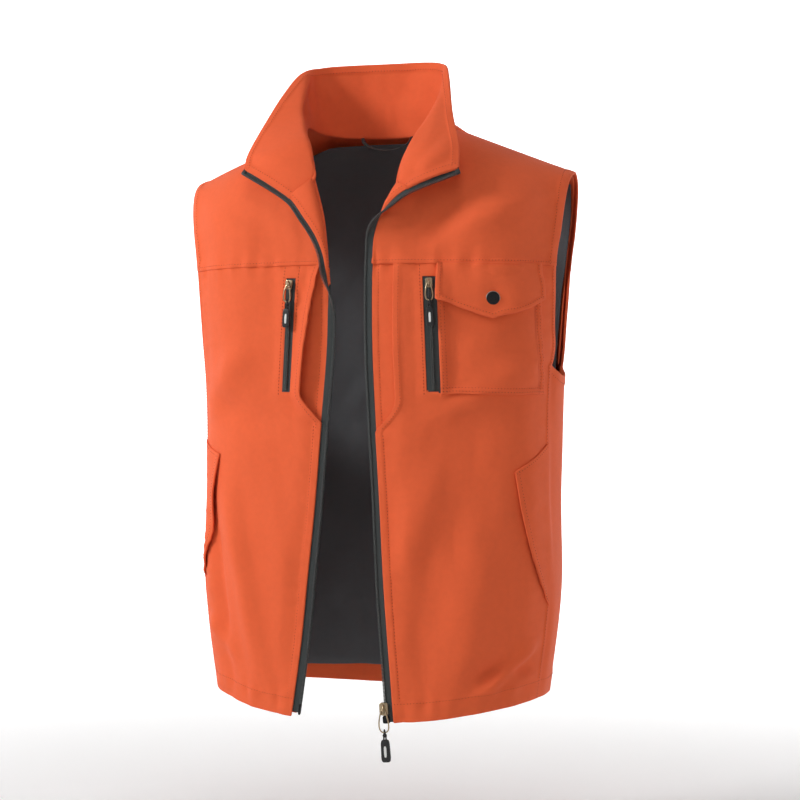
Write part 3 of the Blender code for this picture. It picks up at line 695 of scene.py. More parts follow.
def zip_x(side, z):
    top, bottom = CHEST_X[side]
    return mix(bottom, top, (z - CHEST_BOTTOM) / (CHEST_TOP - CHEST_BOTTOM))


def beyond_zip(z):
    """How far a height lies past the nearer end of the chest zip."""
    return np.maximum(0, np.maximum(z - CHEST_TOP, CHEST_BOTTOM - z))


def gape(side, x, z):
    """How far the pocket mouth's free edge stands open."""
    share = mouth_share(side, z)
    height = 0.0120 if side < 0 else 0.0016
    return height * np.sin(math.pi * share ** 0.75) ** 0.8 * (1 - smooth(0, 0.018, x - mouth_x(side, z)))


def edge_rise(side, x, z):
    """The wearer's left front comes forward at its edge to the plane of the zip."""
    if side < 0:
        return 0.0 * x
    edge = edge_x(side, z)
    return (front(edge, z)[..., 1] + FRONT_DEPTH) * (1 - smooth(0.0, 0.040, x - edge))


def zip_lips(side, x, z):
    """The cloth rises in a folded lip on each side of the chest zip and lies flat under its tape."""
    half = CHEST_TAPE[side] / 2
    off = np.abs(x - zip_x(side, z))
    beyond = beyond_zip(z)
    lip = 0.0016 * (1 - smooth(0.002, 0.014, off - half)) * (1 - smooth(0.0, 0.012, beyond))
    inside = (off < half - 0.0002) & (beyond <= 0)
    return np.where(inside, 0.0, lip)


def front_panel(side, hand):
    top = YOKE_Z + 0.0005
    rows = stations(top - HEM_SIDE, 0.0035)
    ends = []
    for height, x in ((CHEST_TOP, CHEST_X[side][0]), (CHEST_BOTTOM, CHEST_X[side][1])):
        for gap in (-0.0002, 0.0002):
            ends.append((height + gap - hem_z(x)) / (top - hem_z(x)))
    rows = np.unique(np.concatenate([rows, [0.030, 0.036, 0.042, 0.048, 0.054], ends]))
    v = rows[:, None]
    z_in = mix(HEM_SIDE - HEM_DROP, top, v)
    z_out = mix(HEM_SIDE, top, v)
    half = CHEST_TAPE[side] / 2
    a = mouth_x(side, z_in)
    middle = zip_x(side, z_in)
    b = outer_x(side, z_out)
    inner = mix(a, middle - half, stations(0.045, 0.0035)[None, :])
    across = middle + half * np.array([-0.96, -0.5, 0.0, 0.5, 0.96])[None, :]
    outer = arc_x(middle + half, b, stations(0.17, 0.0038)[None, :], z_out)
    x = np.concatenate([inner, across, outer], axis=1)
    z = mix(hem_z(x), top, v)
    lift = gape(side, x, z) + zip_lips(side, x, z) + edge_rise(side, x, z)
    grid, normals = front_skin(side, x, z, lift)
    panel = Panel("front_panel_cloth_" + hand, grid, normals, side,
                  hems={"left": 0.0066, "right": 0.0048, "bottom": HEM_FOLD}, puff=0.0009)
    as_cloth(panel, ORANGE, ["front_panel_" + hand])
    swing_side(panel.object)
    return panel


def on_front(side, points, lift):
    """Line on the front skin through (x, z) points, with outward normals, mirrored to its side."""
    x, z = np.array(points).T
    place, out = front_skin(side, x, z, lift)
    mirror = mirror_of(side)
    return place * mirror, out * mirror


def placket_panel(side, hand):
    z = np.linspace(PLACKET_FOOT, YOKE_Z + 0.0040, 60)[:, None]
    x = edge_x(side, z) + PLACKET_WIDTH * stations(PLACKET_WIDTH, 0.004)[None, :]
    grid, normals = front_skin(side, x, z, -0.0016 + edge_rise(side, x, z))
    panel = Panel("placket_cloth_" + hand, grid, normals, side, hems={"left": 0.0060}, puff=0.0004)
    as_cloth(panel, ORANGE, ["placket_panel_" + hand])
    swing_side(panel.object)
    return panel


def side_panel(side, hand):
    seam = math.acos(SEAM_RATIO ** (ROUND / 2))
    turn = mix(-seam - 0.020, seam + 0.020, stations(0.08, 0.004)[None, :])
    rows = stations(ARMPIT_Z - HEM_SIDE, 0.006)[:, None]
    dip = 0.012 * np.maximum(0, 1 - (turn / seam) ** 2)
    z = mix(hem_z(half_width(HEM_SIDE) * np.cos(turn) ** (2 / ROUND)), ARMPIT_Z - dip, rows)
    grid = side_wall(turn, z)
    normals = normals_of(grid)
    inside = seam - np.abs(turn)
    wave = 0.0018 * ripple(grid[..., 1], grid[..., 2], 0.12, 61 + side, stretch=2.0) * smooth(0, 0.10, inside)
    under = 0.0009 * (1 - smooth(-0.010, 0.004, inside))
    grid = grid + normals * (wave - under)[..., None]
    panel = Panel("side_panel_cloth_" + hand, grid, normals_of(grid), side,
                  hems={"bottom": HEM_FOLD, "top": 0.0090})
    piece = as_cloth(panel, ORANGE, ["side_panel_" + hand])
    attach(piece, "torso")
    return panel


# ------------------------------------------------------------------ opening edge, lapels and collar

ROLL = {
    -1: ((0.0, (0.0165, -0.1262, -0.186)), (0.55, (0.0240, -0.1265, -0.117)),
         (1.0, (0.0390, -0.1175, -0.0675))),
    1: ((0.0, (0.0422, -0.1288, -0.1150)), (0.5, (0.0511, -0.1262, -0.0937)),
        (1.0, (0.0605, -0.1165, -0.0740)))}
RIM = {
    -1: ((0.0190, -0.1240, -0.215), (0.0180, -0.1262, -0.190), (0.0218, -0.1290, -0.1565),
         (0.0298, -0.1310, -0.1340), (0.0436, -0.1300, -0.1130), (0.0642, -0.1225, -0.0888)),
    1: ((0.0318, -0.1238, -0.180), (0.0328, -0.1245, -0.158), (0.0352, -0.1265, -0.1350),
        (0.0430, -0.1300, -0.1135), (0.0590, -0.1345, -0.0945), (0.0760, -0.1355, -0.0835))}
BREAK = {-1: 1, 1: 3}
SEAM_BACK = ((0.70, (0.072, 0.034, 0.004)), (0.85, (0.045, 0.055, 0.002)), (1.00, (0.000, 0.063, 0.001)),
             (1.15, (-0.045, 0.055, 0.002)))
SEAM = {
    -1: ((0.0, (0.0642, -0.1225, -0.0888)), (0.15, (0.0390, -0.1175, -0.0675)),
         (0.30, (0.051, -0.094, -0.036)), (0.50, (0.078, -0.014, 0.004))) + SEAM_BACK,
    1: ((0.0, (0.0760, -0.1355, -0.0835)), (0.15, (0.0605, -0.1165, -0.0740)),
        (0.30, (0.065, -0.092, -0.036)), (0.50, (0.080, -0.014, 0.004))) + SEAM_BACK}
ROLL_RADIUS = 0.0020


def centred(side, points):
    return points + np.array([side * CENTRE, 0.0, 0.0])


def chord_keys(points):
    points = np.array(points, float)
    return [(length, tuple(p)) for length, p in zip(chord_lengths(points), points)]


def rim_keys(side):
    """The cloth's edge from the straight zip up to the collar's front corner."""
    tip = COLLAR_TOP[side][0][1]
    return chord_keys(RIM[side] + (tip,))


def rim_part(side, share):
    """Edge of the lapel, 0 where it starts to fold out and 1 at the collar seam."""
    keys = rim_keys(side)
    start, end = keys[BREAK[side]][0], keys[-2][0]
    return centred(side, keyed(keys, mix(start, end, share)))


def collar_point(side, u, v):
    """Collar surface, u from the front corner to the middle of the back, v from the neck seam to the top."""
    low = keyed(SEAM[side], u)
    high = keyed(COLLAR_TOP[side], u)
    arch = np.clip(4 * v * (1 - v), 0, 1)
    roll = np.exp(-((u - 0.16) / 0.13) ** 2) * arch
    crease = np.exp(-(np.abs(u - 0.17 - 0.33 * v) / 0.10) ** 1.6) * arch ** 0.7
    point = mix(low, high, v[..., None])
    point = point + roll[..., None] * np.array([-0.004, -0.010, 0.006])
    point = point + crease[..., None] * np.array([-0.004 if side > 0 else -0.014, 0.004, 0.008])
    return centred(side, point)


def collar_half(side, hand):
    u = 1.0 - stations(0.30, 0.005)
    v = np.concatenate([[-0.035], stations(0.085, 0.004)])
    uu, vv = np.meshgrid(u, v)
    grid = collar_point(side, uu, vv)
    normals = normals_of(grid)
    wave = 0.0010 * ripple(uu * 0.30, vv * 0.085, 0.05, 71 + side)
    wave = wave * smooth(0, 0.06, 1 - uu) * smooth(0, 0.1, uu)
    grid = grid + normals * (wave * 4 * vv * (1 - vv))[..., None]
    normals = normals_of(grid)
    panel = Panel("collar_cloth_" + hand, grid, normals, side, thick=0.0032,
                  hems={"top": 0.0075, "right": 0.0065}, puff=0.0008, flat_ends=("left",))
    nodes = ["collar_outer", "collar_inner", "collar_stiffener"] if side > 0 else []
    as_cloth(panel, ORANGE_INSIDE, nodes)
    swing_side(panel.object, "z")
    return panel


def roll_radius(u):
    """Radius of the soft fold along a lapel, which tightens towards its lower end."""
    return ROLL_RADIUS * (0.15 + 0.85 * smooth(0.0, 0.30, u))


def side_sign(vectors):
    """Per row, the sign that turns a vector to the front (-Y)."""
    return np.where(vectors[:, 1:2] > 0, -1.0, 1.0)


def lapel(side, hand):
    u = np.linspace(0, 1, 60)[:, None]
    v = stations(0.035, 0.003)[None, :]
    roll = centred(side, keyed(ROLL[side], u[:, 0]))[:, None, :]
    rim = rim_part(side, u[:, 0])[:, None, :]
    flat = mix(roll, rim, v[..., None])
    seam = centred(side, keyed(SEAM[side], 0.15 * (1 - v[0])))[None, :, :]
    close = smooth(0.55, 1.0, u)[..., None]
    flat = flat + close * (seam - flat[-1:, :, :])
    bulge = (u * 4 * v * (1 - v))[..., None] * np.array([-0.003, -0.005, 0.003])
    flat = flat + bulge
    ahead = unit(np.gradient(roll[:, 0, :], axis=0))
    spread = unit(flat[:, -1, :] - flat[:, 0, :])
    settled = spread[18:19]
    spread = unit(mix(settled, spread, smooth(0.0, 0.3, u)))
    inward = -unit(spread - ahead * np.sum(spread * ahead, axis=1, keepdims=True))
    out = np.cross(inward, ahead) * side_sign(np.cross(inward, ahead))
    bends = []
    for angle in np.linspace(math.pi, 0, 9)[:-1]:
        across = out * (math.cos(angle) - 1.0) + inward * math.sin(angle)
        bends.append(flat[:, 0, :] + across * roll_radius(u))
    grid = np.concatenate([np.stack(bends, axis=1), flat], axis=1)
    panel = Panel("lapel_cloth_" + hand, grid, normals_of(grid), side, thick=0.0016,
                  hems={"right": 0.0060}, puff=0.0005)
    as_cloth(panel, ORANGE_INSIDE, ["lapel_facing_" + hand])
    swing_side(panel.object, "z")
    return panel


def yoke_edge(side):
    """Line of the front yoke's inner edge: up the front edge, the lapel's roll and the collar seam."""
    low = np.array([(edge_x(side, YOKE_Z), -FRONT_DEPTH, YOKE_Z)])
    if side > 0:
        rise = centred(side, keyed(rim_keys(side), np.linspace(0.018, rim_keys(side)[BREAK[side]][0], 8)))
    else:
        rise = np.zeros((0, 3))
    u = np.linspace(0.33 if side < 0 else 0.1, 1, 16)[:, None]
    roll = centred(side, keyed(ROLL[side], u[:, 0])) + roll_radius(u) * np.array([0.6, 1.8, 0.0])
    seam = centred(side, keyed(SEAM[side], np.linspace(0.17, 0.60, 30)))
    return np.concatenate([low, rise, roll, seam])


def evenly(points, count):
    """A line's points again, evenly spaced by its length."""
    lengths = chord_lengths(points)
    return along_line(np.linspace(0, lengths[-1], count), lengths, points)


def front_yoke(side, hand):
    bottom = YOKE_Z - 0.0008
    rows = np.sin(math.pi / 2 * stations(0.20, 0.004))[:, None]
    edge = yoke_edge(side)
    inner = evenly(edge, len(rows))
    z_in = inner[:, 2:3]
    z_out = mix(bottom, -SHOULDER_DROP, rows)
    columns = stations(0.19, 0.004)[None, :]
    x_in = inner[:, :1]
    x = mix(x_in, armhole_x(side, z_out), columns)
    z_flat = mix(bottom, shoulder_z(x), rows)
    z = mix(np.minimum(z_in, shoulder_z(x) - 0.0002), z_flat, smooth(0.0, 0.7, columns))
    grid, _ = front_skin(side, x, z, 0.0004)
    delta = (inner - grid[:, 0, :])[:, None, :]
    fade = 1 - smooth(0.0, 0.030, x - x_in)
    grid = grid + delta * fade[..., None]
    panel = Panel("front_yoke_cloth_" + hand, grid, normals_of(grid), side,
                  hems={"bottom": YOKE_FOLD, "right": ARMHOLE_FOLD}, puff=0.0010)
    as_cloth(panel, ORANGE, ["front_yoke_" + hand])
    swing_side(panel.object, "z")
    return panel


# ------------------------------------------------------------------ back

def to_neck(top):
    """Moves the top edge of the back yoke on to the collar seam, between the two shoulder seams."""
    shares = np.linspace(0.60, 1.0, 60)
    left = centred(1, keyed(SEAM[1], shares))
    right = centred(-1, keyed(SEAM[-1], shares)) * np.array([-1.0, 1.0, 1.0])
    line = np.concatenate([right, left[::-1]])
    x = top[:, 0]
    inside = smooth(line[0, 0] - 0.030, line[0, 0], x) * (1 - smooth(line[-1, 0], line[-1, 0] + 0.030, x))
    target = np.stack([x] + [np.interp(x, line[:, 0], line[:, k]) for k in (1, 2)], axis=-1)
    return (target + [0.0, 0.0, 0.0008] - top) * inside[:, None]


def back_pieces():
    columns = mix(-1.0, 1.0, stations(0.43, 0.006))[None, ::-1]
    rows = stations(YOKE_Z - HEM_SIDE, 0.006)[:, None]
    z_row = mix(HEM_SIDE - 0.006, YOKE_Z + 0.0005, rows)
    x = np.sign(columns) * arc_x(0.0, outer_x(columns, z_row), np.abs(columns), z_row)
    for _ in range(3):
        z = mix(hem_z(x) + 0.012 * (1 - (x / half_width(HEM_SIDE)) ** 2), YOKE_Z + 0.0005, rows)
        x = np.sign(columns) * arc_x(0.0, outer_x(columns, z), np.abs(columns), z)
    grid, normals = back_skin(x, z)
    panel = Panel("back_panel_cloth", grid, normals,
                  hems={"bottom": HEM_FOLD, "left": 0.0045, "right": 0.0045})
    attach(as_cloth(panel, ORANGE, ["back_panel"]), "torso")

    rows = np.sin(math.pi / 2 * stations(0.20, 0.005))[:, None]
    z_out = mix(YOKE_Z - 0.0008, -SHOULDER_DROP, rows)
    x = columns * armhole_x(columns, z_out)
    share_in = neck_share(x)
    top = shoulder_z(x) + BACK_NECK_RISE * share_in - 0.019 * share_in ** 1.5
    grid, normals = back_skin(x, mix(YOKE_Z - 0.0008, top, rows), 0.0004)
    grid = grid + to_neck(grid[-1]) * smooth(0.55, 1.0, rows)[..., None]
    yoke = Panel("back_yoke_cloth", grid, normals_of(grid),
                 hems={"bottom": YOKE_FOLD, "left": ARMHOLE_FOLD, "right": ARMHOLE_FOLD})
    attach(as_cloth(yoke, ORANGE, ["back_yoke"]), "torso")
    return panel, yoke


def linings():
    columns = mix(-1.0, 1.0, np.linspace(0, 1, 60))[None, ::-1]
    rows = np.linspace(0, 1, 60)[:, None]
    z_row = mix(HEM_SIDE + 0.010, -0.012, rows)
    x = np.sign(columns) * arc_x(0.0, outer_x(columns, z_row) - 0.004, np.abs(columns), z_row)
    z = mix(HEM_SIDE + 0.010, shoulder_z(x) + 0.004 * neck_share(x) - 0.008, rows)
    grid, _ = back_skin(x, z, LINING_LIFT)
    panel = Panel("back_lining_cloth", grid, normals_of(grid), thick=0.0008)
    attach(as_cloth(panel, GREY, ["back_lining"]), "torso")
    for side, hand in SIDES:
        rows = np.linspace(0, 1, 50)[:, None]
        z = mix(HEM_SIDE + 0.004, YOKE_Z - 0.004, rows)
        edge = edge_x(side, z)
        x = arc_x(edge + 0.0455, outer_x(side, z) - 0.004, np.linspace(0, 1, 24)[None, :], z)
        grid, normals = front_skin(side, x, z, LINING_LIFT)
        inside = Panel("front_lining_cloth_" + hand, grid, normals, side, thick=0.0008)
        as_cloth(inside, GREY, ["front_lining_" + hand])
        swing_side(inside.object)
        x = edge + 0.048 * np.linspace(0, 1, 12)[None, :]
        grid, normals = front_skin(side, x, mix(hem_z(x) + 0.003, YOKE_Z - 0.004, rows), -0.0052)
        facing = Panel("front_facing_cloth_" + hand, grid, normals, side, thick=0.0010)
        as_cloth(facing, ORANGE_INSIDE, ["front_facing_" + hand])
        swing_side(facing.object)


# ------------------------------------------------------------------ main zip

def zip_run(side):
    """Even places up the opening's edge on the +X half, where the tape turns over as the lapel folds out.

    Gives the places, their tangents, tape directions and faces, the tape's turn and its share of full width.
    """
    z = np.linspace(-0.666 if side > 0 else -0.660, RIM[side][0][2] - 0.004, 200)
    edge = edge_x(side, z)
    depth = -FRONT_DEPTH + 0 * z if side > 0 else front(edge, z)[:, 1]
    low = np.stack([edge, depth, z], axis=-1)
    keys = rim_keys(side)
    high = centred(side, keyed(keys, np.linspace(0, keys[-1][0], 120)))
    path = evenly(np.concatenate([low, high]), 460)
    ahead = unit(np.gradient(path, axis=0))
    from_break = np.linalg.norm(path - centred(side, np.array(keys[BREAK[side]][1])), axis=1)
    along = (np.arange(len(path)) - int(np.argmin(from_break))) * np.linalg.norm(path[1] - path[0])
    angle = math.pi * smooth(-0.042, 0.046, along)
    lean = np.clip(along / 0.12, 0, 1)
    front_way = np.stack([0 * lean, -1 + 0 * lean, 0.35 * lean], axis=-1)
    aside = unit(np.cross(ahead, front_way))
    front_way = unit(np.cross(aside, ahead))
    out = -aside * np.cos(angle)[:, None] + front_way * np.sin(angle)[:, None]
    face = np.cross(ahead, out)
    sink = (-0.0009 * (1 - angle / math.pi))[:, None]
    wide = mix(mix(1.0, 0.90, smooth(-0.56, -0.40, path[:, 2])), 0.60, smooth(-0.010, 0.040, along))
    return path + face * sink, ahead, out, face, angle, wide


def main_zip(side, hand):
    path, ahead, out, face, angle, wide = zip_run(side)
    across = np.array([-0.0060, -0.0040, -0.0015, 0.0, 0.0012, 0.0030, 0.0050, 0.0068, TAPE])[::-1]
    tuck = -0.0030 * smooth(0.0002, -0.0030, across)[None, :] * (1 - angle / math.pi)[:, None]
    tucked = 1 - 0.85 * angle / math.pi
    reach = np.where(across[None, :] > 0, across[None, :] * wide[:, None], across[None, :] * tucked[:, None])
    grid = path[:, None, :] + out[:, None, :] * reach[..., None] + face[:, None, :] * tuck[..., None]
    tape = Panel("main_zip_tape_cloth_" + hand, grid, face[:, None, :] + 0 * grid, side, thick=0.0008)
    as_cloth(tape, TAPE_CLOTH, ["main_zip_tape_" + hand, "lapel_zip_tape_" + hand])
    swing_side(tape.object, "z")
    marks = Marks()
    mirror = mirror_of(side)
    line = (path + out * (TAPE * wide[:, None] + 0.0006)) * mirror
    centre, along, aside, away = resample(line, face * mirror, 0.0015)
    marks.add(TOOTH, BOX_FACES, centre, (along, aside, away))
    teeth = marks.make("main_zip_elements_" + hand)
    dress(teeth, ELEMENTS)
    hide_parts("main_zip_chain_" + hand, "lapel_zip_chain_" + hand)
    swing_side(teeth, "z")
    end = (path[-1] + out[-1] * (TAPE * wide[-1] * 0.60)) * mirror
    spot = frame_of(face[-1] * mirror, ahead[-1] * mirror, end - ahead[-1] * mirror * 0.0015)
    points, faces = moved(pebble(0.0085, 0.0050, 0.0030, 4), spot)
    stop = new_mesh("main_zip_top_stop_" + hand, points, faces)
    dress(stop, RUBBER)
    swing_side(stop, "z")


BOX_FACES = ((0, 3, 2, 1), (4, 5, 6, 7), (0, 1, 5, 4), (1, 2, 6, 5), (2, 3, 7, 6), (3, 0, 4, 7))


def block(length, width, thick, top=1.0):
    """Corners of a small block; its far end narrows to a share of its length."""
    a, b, c = length / 2, width / 2, thick / 2
    return np.array([(-a, -b, -c), (a, -b, -c), (a * top, b, -c), (-a * top, b, -c),
                     (-a, -b, c), (a, -b, c), (a * top, b, c), (-a * top, b, c)])


TOOTH = block(0.0010, 0.0030, 0.0024)


# ------------------------------------------------------------------ small solids

def frame_of(out, up, origin):
    """Matrix with local Z outwards, local Y up along the piece and local X across it."""
    z_axis = Vector(out).normalized()
    x_axis = Vector(up).cross(z_axis).normalized()
    y_axis = z_axis.cross(x_axis)
    turn = Matrix((x_axis, y_axis, z_axis)).transposed().to_4x4()
    return Matrix.Translation(Vector(origin)) @ turn


def moved(shape, place):
    points, faces = shape
    m = np.array(place)
    return np.asarray(points, float) @ m[:3, :3].T + m[:3, 3], faces


def solid(name, shapes, place, material, body, nodes=()):
    """One hard piece from several closed shapes, riding on a body."""
    points, faces = [], []
    for shape in shapes:
        more, quads = moved(shape, place)
        base = sum(len(p) for p in points)
        points.append(more)
        faces.extend(tuple(base + i for i in quad) for quad in quads)
    made = new_mesh(name, np.concatenate(points), faces)
    dress(made, material)
    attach(made, body)
    if nodes:
        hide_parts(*nodes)
    return made


def ring_faces(count, steps, closed=False):
    """Quads between neighbouring rings of points; closed joins the last ring to the first."""
    faces = []
    for i in range(count if closed else count - 1):
        j = (i + 1) % count
        for k in range(steps):
            m = (k + 1) % steps
            faces.append((i * steps + k, i * steps + m, j * steps + m, j * steps + k))
    return faces


def pebble(width, length, thick, power=4.0, centre=(0, 0, 0), taper=0.0, steps=28):
    """Rounded block; a taper narrows its lower end."""
    def power_of(v):
        return np.sign(v) * np.abs(v) ** (2.0 / power)

    lat = np.linspace(-math.pi / 2, math.pi / 2, steps // 2 + 1)
    lon = np.linspace(0, 2 * math.pi, steps, endpoint=False)
    la, lo = np.meshgrid(lat, lon, indexing="ij")
    x = width / 2 * power_of(np.cos(la)) * power_of(np.cos(lo))
    y = length / 2 * power_of(np.cos(la)) * power_of(np.sin(lo))
    z = thick / 2 * power_of(np.sin(la))
    x = x * (1 - taper * (0.5 - y / length))
    points = np.stack([x, y, z], axis=-1).reshape(-1, 3) + np.array(centre)
    return points, ring_faces(len(lat), steps)


def tube(line, radius, closed=False, sides=10):
    """Round wire along a line."""
    line = np.array(line, float)
    count = len(line)
    ahead = unit(np.roll(line, -1, 0) - np.roll(line, 1, 0) if closed else np.gradient(line, axis=0))
    side = unit(np.cross(ahead, np.array([0.13, 0.21, 1.0])))
    up = np.cross(side, ahead)
    turn = np.linspace(0, 2 * math.pi, sides, endpoint=False)
    around = np.cos(turn)[None, :, None] * side[:, None] + np.sin(turn)[None, :, None] * up[:, None]
    rings = line[:, None] + radius * around
    faces = ring_faces(count, sides, closed)
    if not closed:
        faces.append(tuple(range(sides))[::-1])
        faces.append(tuple((count - 1) * sides + k for k in range(sides)))
    return rings.reshape(-1, 3), faces


def lathe(profile, steps=48):
    """Solid of revolution about local Z from its underside's middle to its top's middle."""
    points = []
    for r, h in profile:
        for k in range(steps):
            turn = 2 * math.pi * k / steps
            points.append((r * math.cos(turn), r * math.sin(turn), h))
    return np.array(points), ring_faces(len(profile), steps)


# ------------------------------------------------------------------ sliders and pullers

def slider_shapes(width, length, thick, saddle):
    """Two plates with rounded shoulders, the bridge between them and the arched saddle on top."""
    plate = thick * 0.30
    arch = []
    for share in np.linspace(-1, 1, 15):
        rise = saddle * math.cos(share * math.pi / 2) ** 0.6
        arch.append((0, share * length * 0.34, thick / 2 - 0.0004 + rise))
    rails = []
    for s in (1, -1):
        middle = (s * width * 0.43, 0, thick / 2 - plate * 0.9)
        rails.append(pebble(0.0009, length * 0.86, thick * 0.55, 5, middle))
    return [pebble(width, length, plate, 5, (0, 0, thick / 2 - plate / 2), taper=0.22),
            pebble(width, length, plate, 5, (0, 0, -thick / 2 + plate / 2), taper=0.22),
            pebble(width * 0.24, length * 0.30, thick * 0.9, 4, (0, length * 0.30, 0)),
            tube(arch, 0.0009)] + rails


def ring_line(width, length, count=56):
    line = []
    for k in range(count):
        angle = 2 * math.pi * k / count
        down = (1 - math.cos(angle)) / 2
        half = width / 2 * mix(0.50, 1.0, down ** 1.15)
        bow = 0.0012 * math.sin(math.pi * down)
        across = math.copysign(abs(math.sin(angle)) ** 0.75, math.sin(angle))
        line.append((half * across, -down * length, bow))
    return line


def puller(prefix, body, place, ring, tab):
    """Ring, doubled cord and rubber tab with its pale inset, hanging along local -Y."""
    ring_width, ring_length = ring
    width, length, thick = tab
    solid(prefix + "_ring_wire", [tube(ring_line(ring_width, ring_length), 0.00080, True, 12)], place,
          BRASS, body, [prefix + "_ring"])
    start = ring_length - 0.0026
    reach = 0.0100
    strands = []
    for s in (1, -1):
        line = []
        for t in np.linspace(0, 1, 16):
            sway = s * 0.0012 * (0.5 + 0.6 * t)
            over = 0.0016 * math.cos(math.pi / 2 * min(1.0, t * 2.2))
            line.append((sway, -start - 0.0004 - reach * t, s * over))
        strands.append(line)
    loop = [(mix(0.0006, -0.0006, t), -start + 0.0002 * math.sin(math.pi * t), 0.0016 * math.cos(math.pi * t))
            for t in np.linspace(0, 1, 9)]
    shapes = [tube(strands[0][::-1] + loop + strands[1], 0.00085, False, 10)]
    shapes.append(pebble(0.0048, 0.0042, 0.0034, 2.6, (0, -start - reach * 0.62, 0)))
    solid(prefix + "_cord_loop", shapes, place, CORD, body, [prefix + "_cord"])
    middle = -start - reach - 0.0003 - length / 2
    rubber = pebble(width, length, thick, 5, (0, middle, 0), taper=-0.10, steps=40)
    solid(prefix + "_tab_rubber", [rubber], place, RUBBER, body, [prefix + "_tab"])
    inset = pebble(width * 0.38, length * 0.62, thick + 0.0007, 3.5, (0, middle - length * 0.03, 0), steps=32)
    solid(prefix + "_tab_inset", [inset], place, WHITE, body)


def hinge_place(travel, swing):
    """Place of a puller's hinge, with local Y up the zip and local Z outwards, from the CAD's joints."""
    joints = {joint["name"]: joint for joint in frame["joints"]}
    up = Vector(joints[travel]["axis"])
    if up.z < 0:
        up.negate()
    out = up.cross(Vector(joints[swing]["axis"]))
    return frame_of(out, up, joints[swing]["pos_m"])


def zip_slider(names, travel, sizes, rise, ring, tab):
    """A slider and its puller; the hinge lies a rise above the slider's middle."""
    made, slider, pull = names
    place = hinge_place(travel, pull + "_swing")
    middle = place @ Matrix.Translation((0, 0, -rise))
    solid(made, slider_shapes(*sizes), middle, BRASS, slider, [slider])
    puller(pull, pull, place, ring, tab)


def main_pull():
    zip_slider(("main_slider_body", "main_slider", "main_pull"), "main_slider_travel",
               (0.0104, 0.0140, 0.0064, 0.0036), 0.0049, (0.0140, 0.0250), (0.0098, 0.0250, 0.0040))


def chest_zip(side, hand):
    """Exposed tape between two lips, its coil, and its slider with a puller."""
    half = CHEST_TAPE[side] / 2
    z = np.linspace(CHEST_BOTTOM - 0.001, CHEST_TOP + 0.001, 60)[:, None]
    off = np.array([-1.16, -1.02, -0.96, -0.6, -0.34, 0.0, 0.34, 0.6, 0.96, 1.02, 1.16])[None, :]
    x = zip_x(side, z) + half * off
    grid, normals = front_skin(side, x, z, 0.0011)
    tape = Panel("chest_zip_tape_cloth_" + hand, grid, normals, side, thick=0.0008)
    as_cloth(tape, TAPE_CLOTH, ["chest_zip_tape_" + hand])
    body = "front_" + hand
    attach(tape.object, body)
    marks = Marks()
    z = np.linspace(CHEST_BOTTOM + 0.002, CHEST_TOP - 0.002, 80)
    for s in (-1, 1):
        line = on_front(side, list(zip(zip_x(side, z) + s * 0.00085, z)), 0.0024)
        centre, along, aside, away = resample(*line, 0.0012)
        marks.add(COIL_TURN, BOX_FACES, centre + along * s * 0.0003, (along, aside, away))
    coil = marks.make("chest_zip_elements_" + hand)
    dress(coil, ELEMENTS)
    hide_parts("chest_zip_chain_" + hand)
    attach(coil, body)
    zip_slider(("chest_slider_body_" + hand, "chest_slider_" + hand, "chest_pull_" + hand),
               "chest_zip_" + hand + "_travel", (0.0078, 0.0105, 0.0036, 0.0034), 0.0034,
               (0.0104, 0.0190), (0.0080, 0.0210, 0.0030))


COIL_TURN = block(0.0009, 0.0017, 0.0012)


def zip_end_pieces():
    for side, node, body, size in ((1, "zip_retainer_box", "front_left", (0.0080, 0.0085, 0.0042)),
                                   (-1, "zip_insertion_pin", "front_right", (0.0028, 0.0130, 0.0028))):
        path, ahead, out, face, _, _ = zip_run(side)
        mirror = mirror_of(side)
        end = (path[0] + out[0] * (TAPE + 0.0006) + ahead[0] * size[1] * 0.3) * mirror
        place = frame_of(face[0] * mirror, ahead[0] * mirror, end)
        solid(node + "_body", [pebble(*size, 6)], place, BLACK_METAL, body, [node])


# ------------------------------------------------------------------ pockets

def pocket_inner(z):
    """Inner edge of the pocket and its flap, close beside the chest zip."""
    return zip_x(1, z) + CHEST_TAPE[1] / 2 + 0.0008


def patch_pocket():
    top = YOKE_Z - 0.003
    v = stations(top - POCKET_BOTTOM, 0.004)[:, None]
    z = mix(POCKET_BOTTOM, top, v)
    columns = stations(0.11, 0.004)
    x = arc_x(pocket_inner(z), POCKET_OUT, columns[None, :], z)
    edge = np.minimum(np.minimum(columns, 1 - columns)[None, :] * 0.11, v * 0.143)
    puff = 0.0014 * smooth(0.006, 0.03, edge) * (1 + 0.5 * ripple(x, z, 0.06, 91))
    pucker = 0.0004 * np.exp(-edge / 0.006) * ripple(x, z, 0.014, 92)
    grid, normals = front_skin(1, x, z, 0.0018 + zip_lips(1, x, z) + puff + pucker)
    panel = Panel("patch_pocket_cloth", grid, normals,
                  hems={"left": 0.0050, "right": 0.0050, "bottom": 0.0050}, puff=0.0009)
    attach(as_cloth(panel, ORANGE, ["patch_pocket"]), "front_left")
    return panel


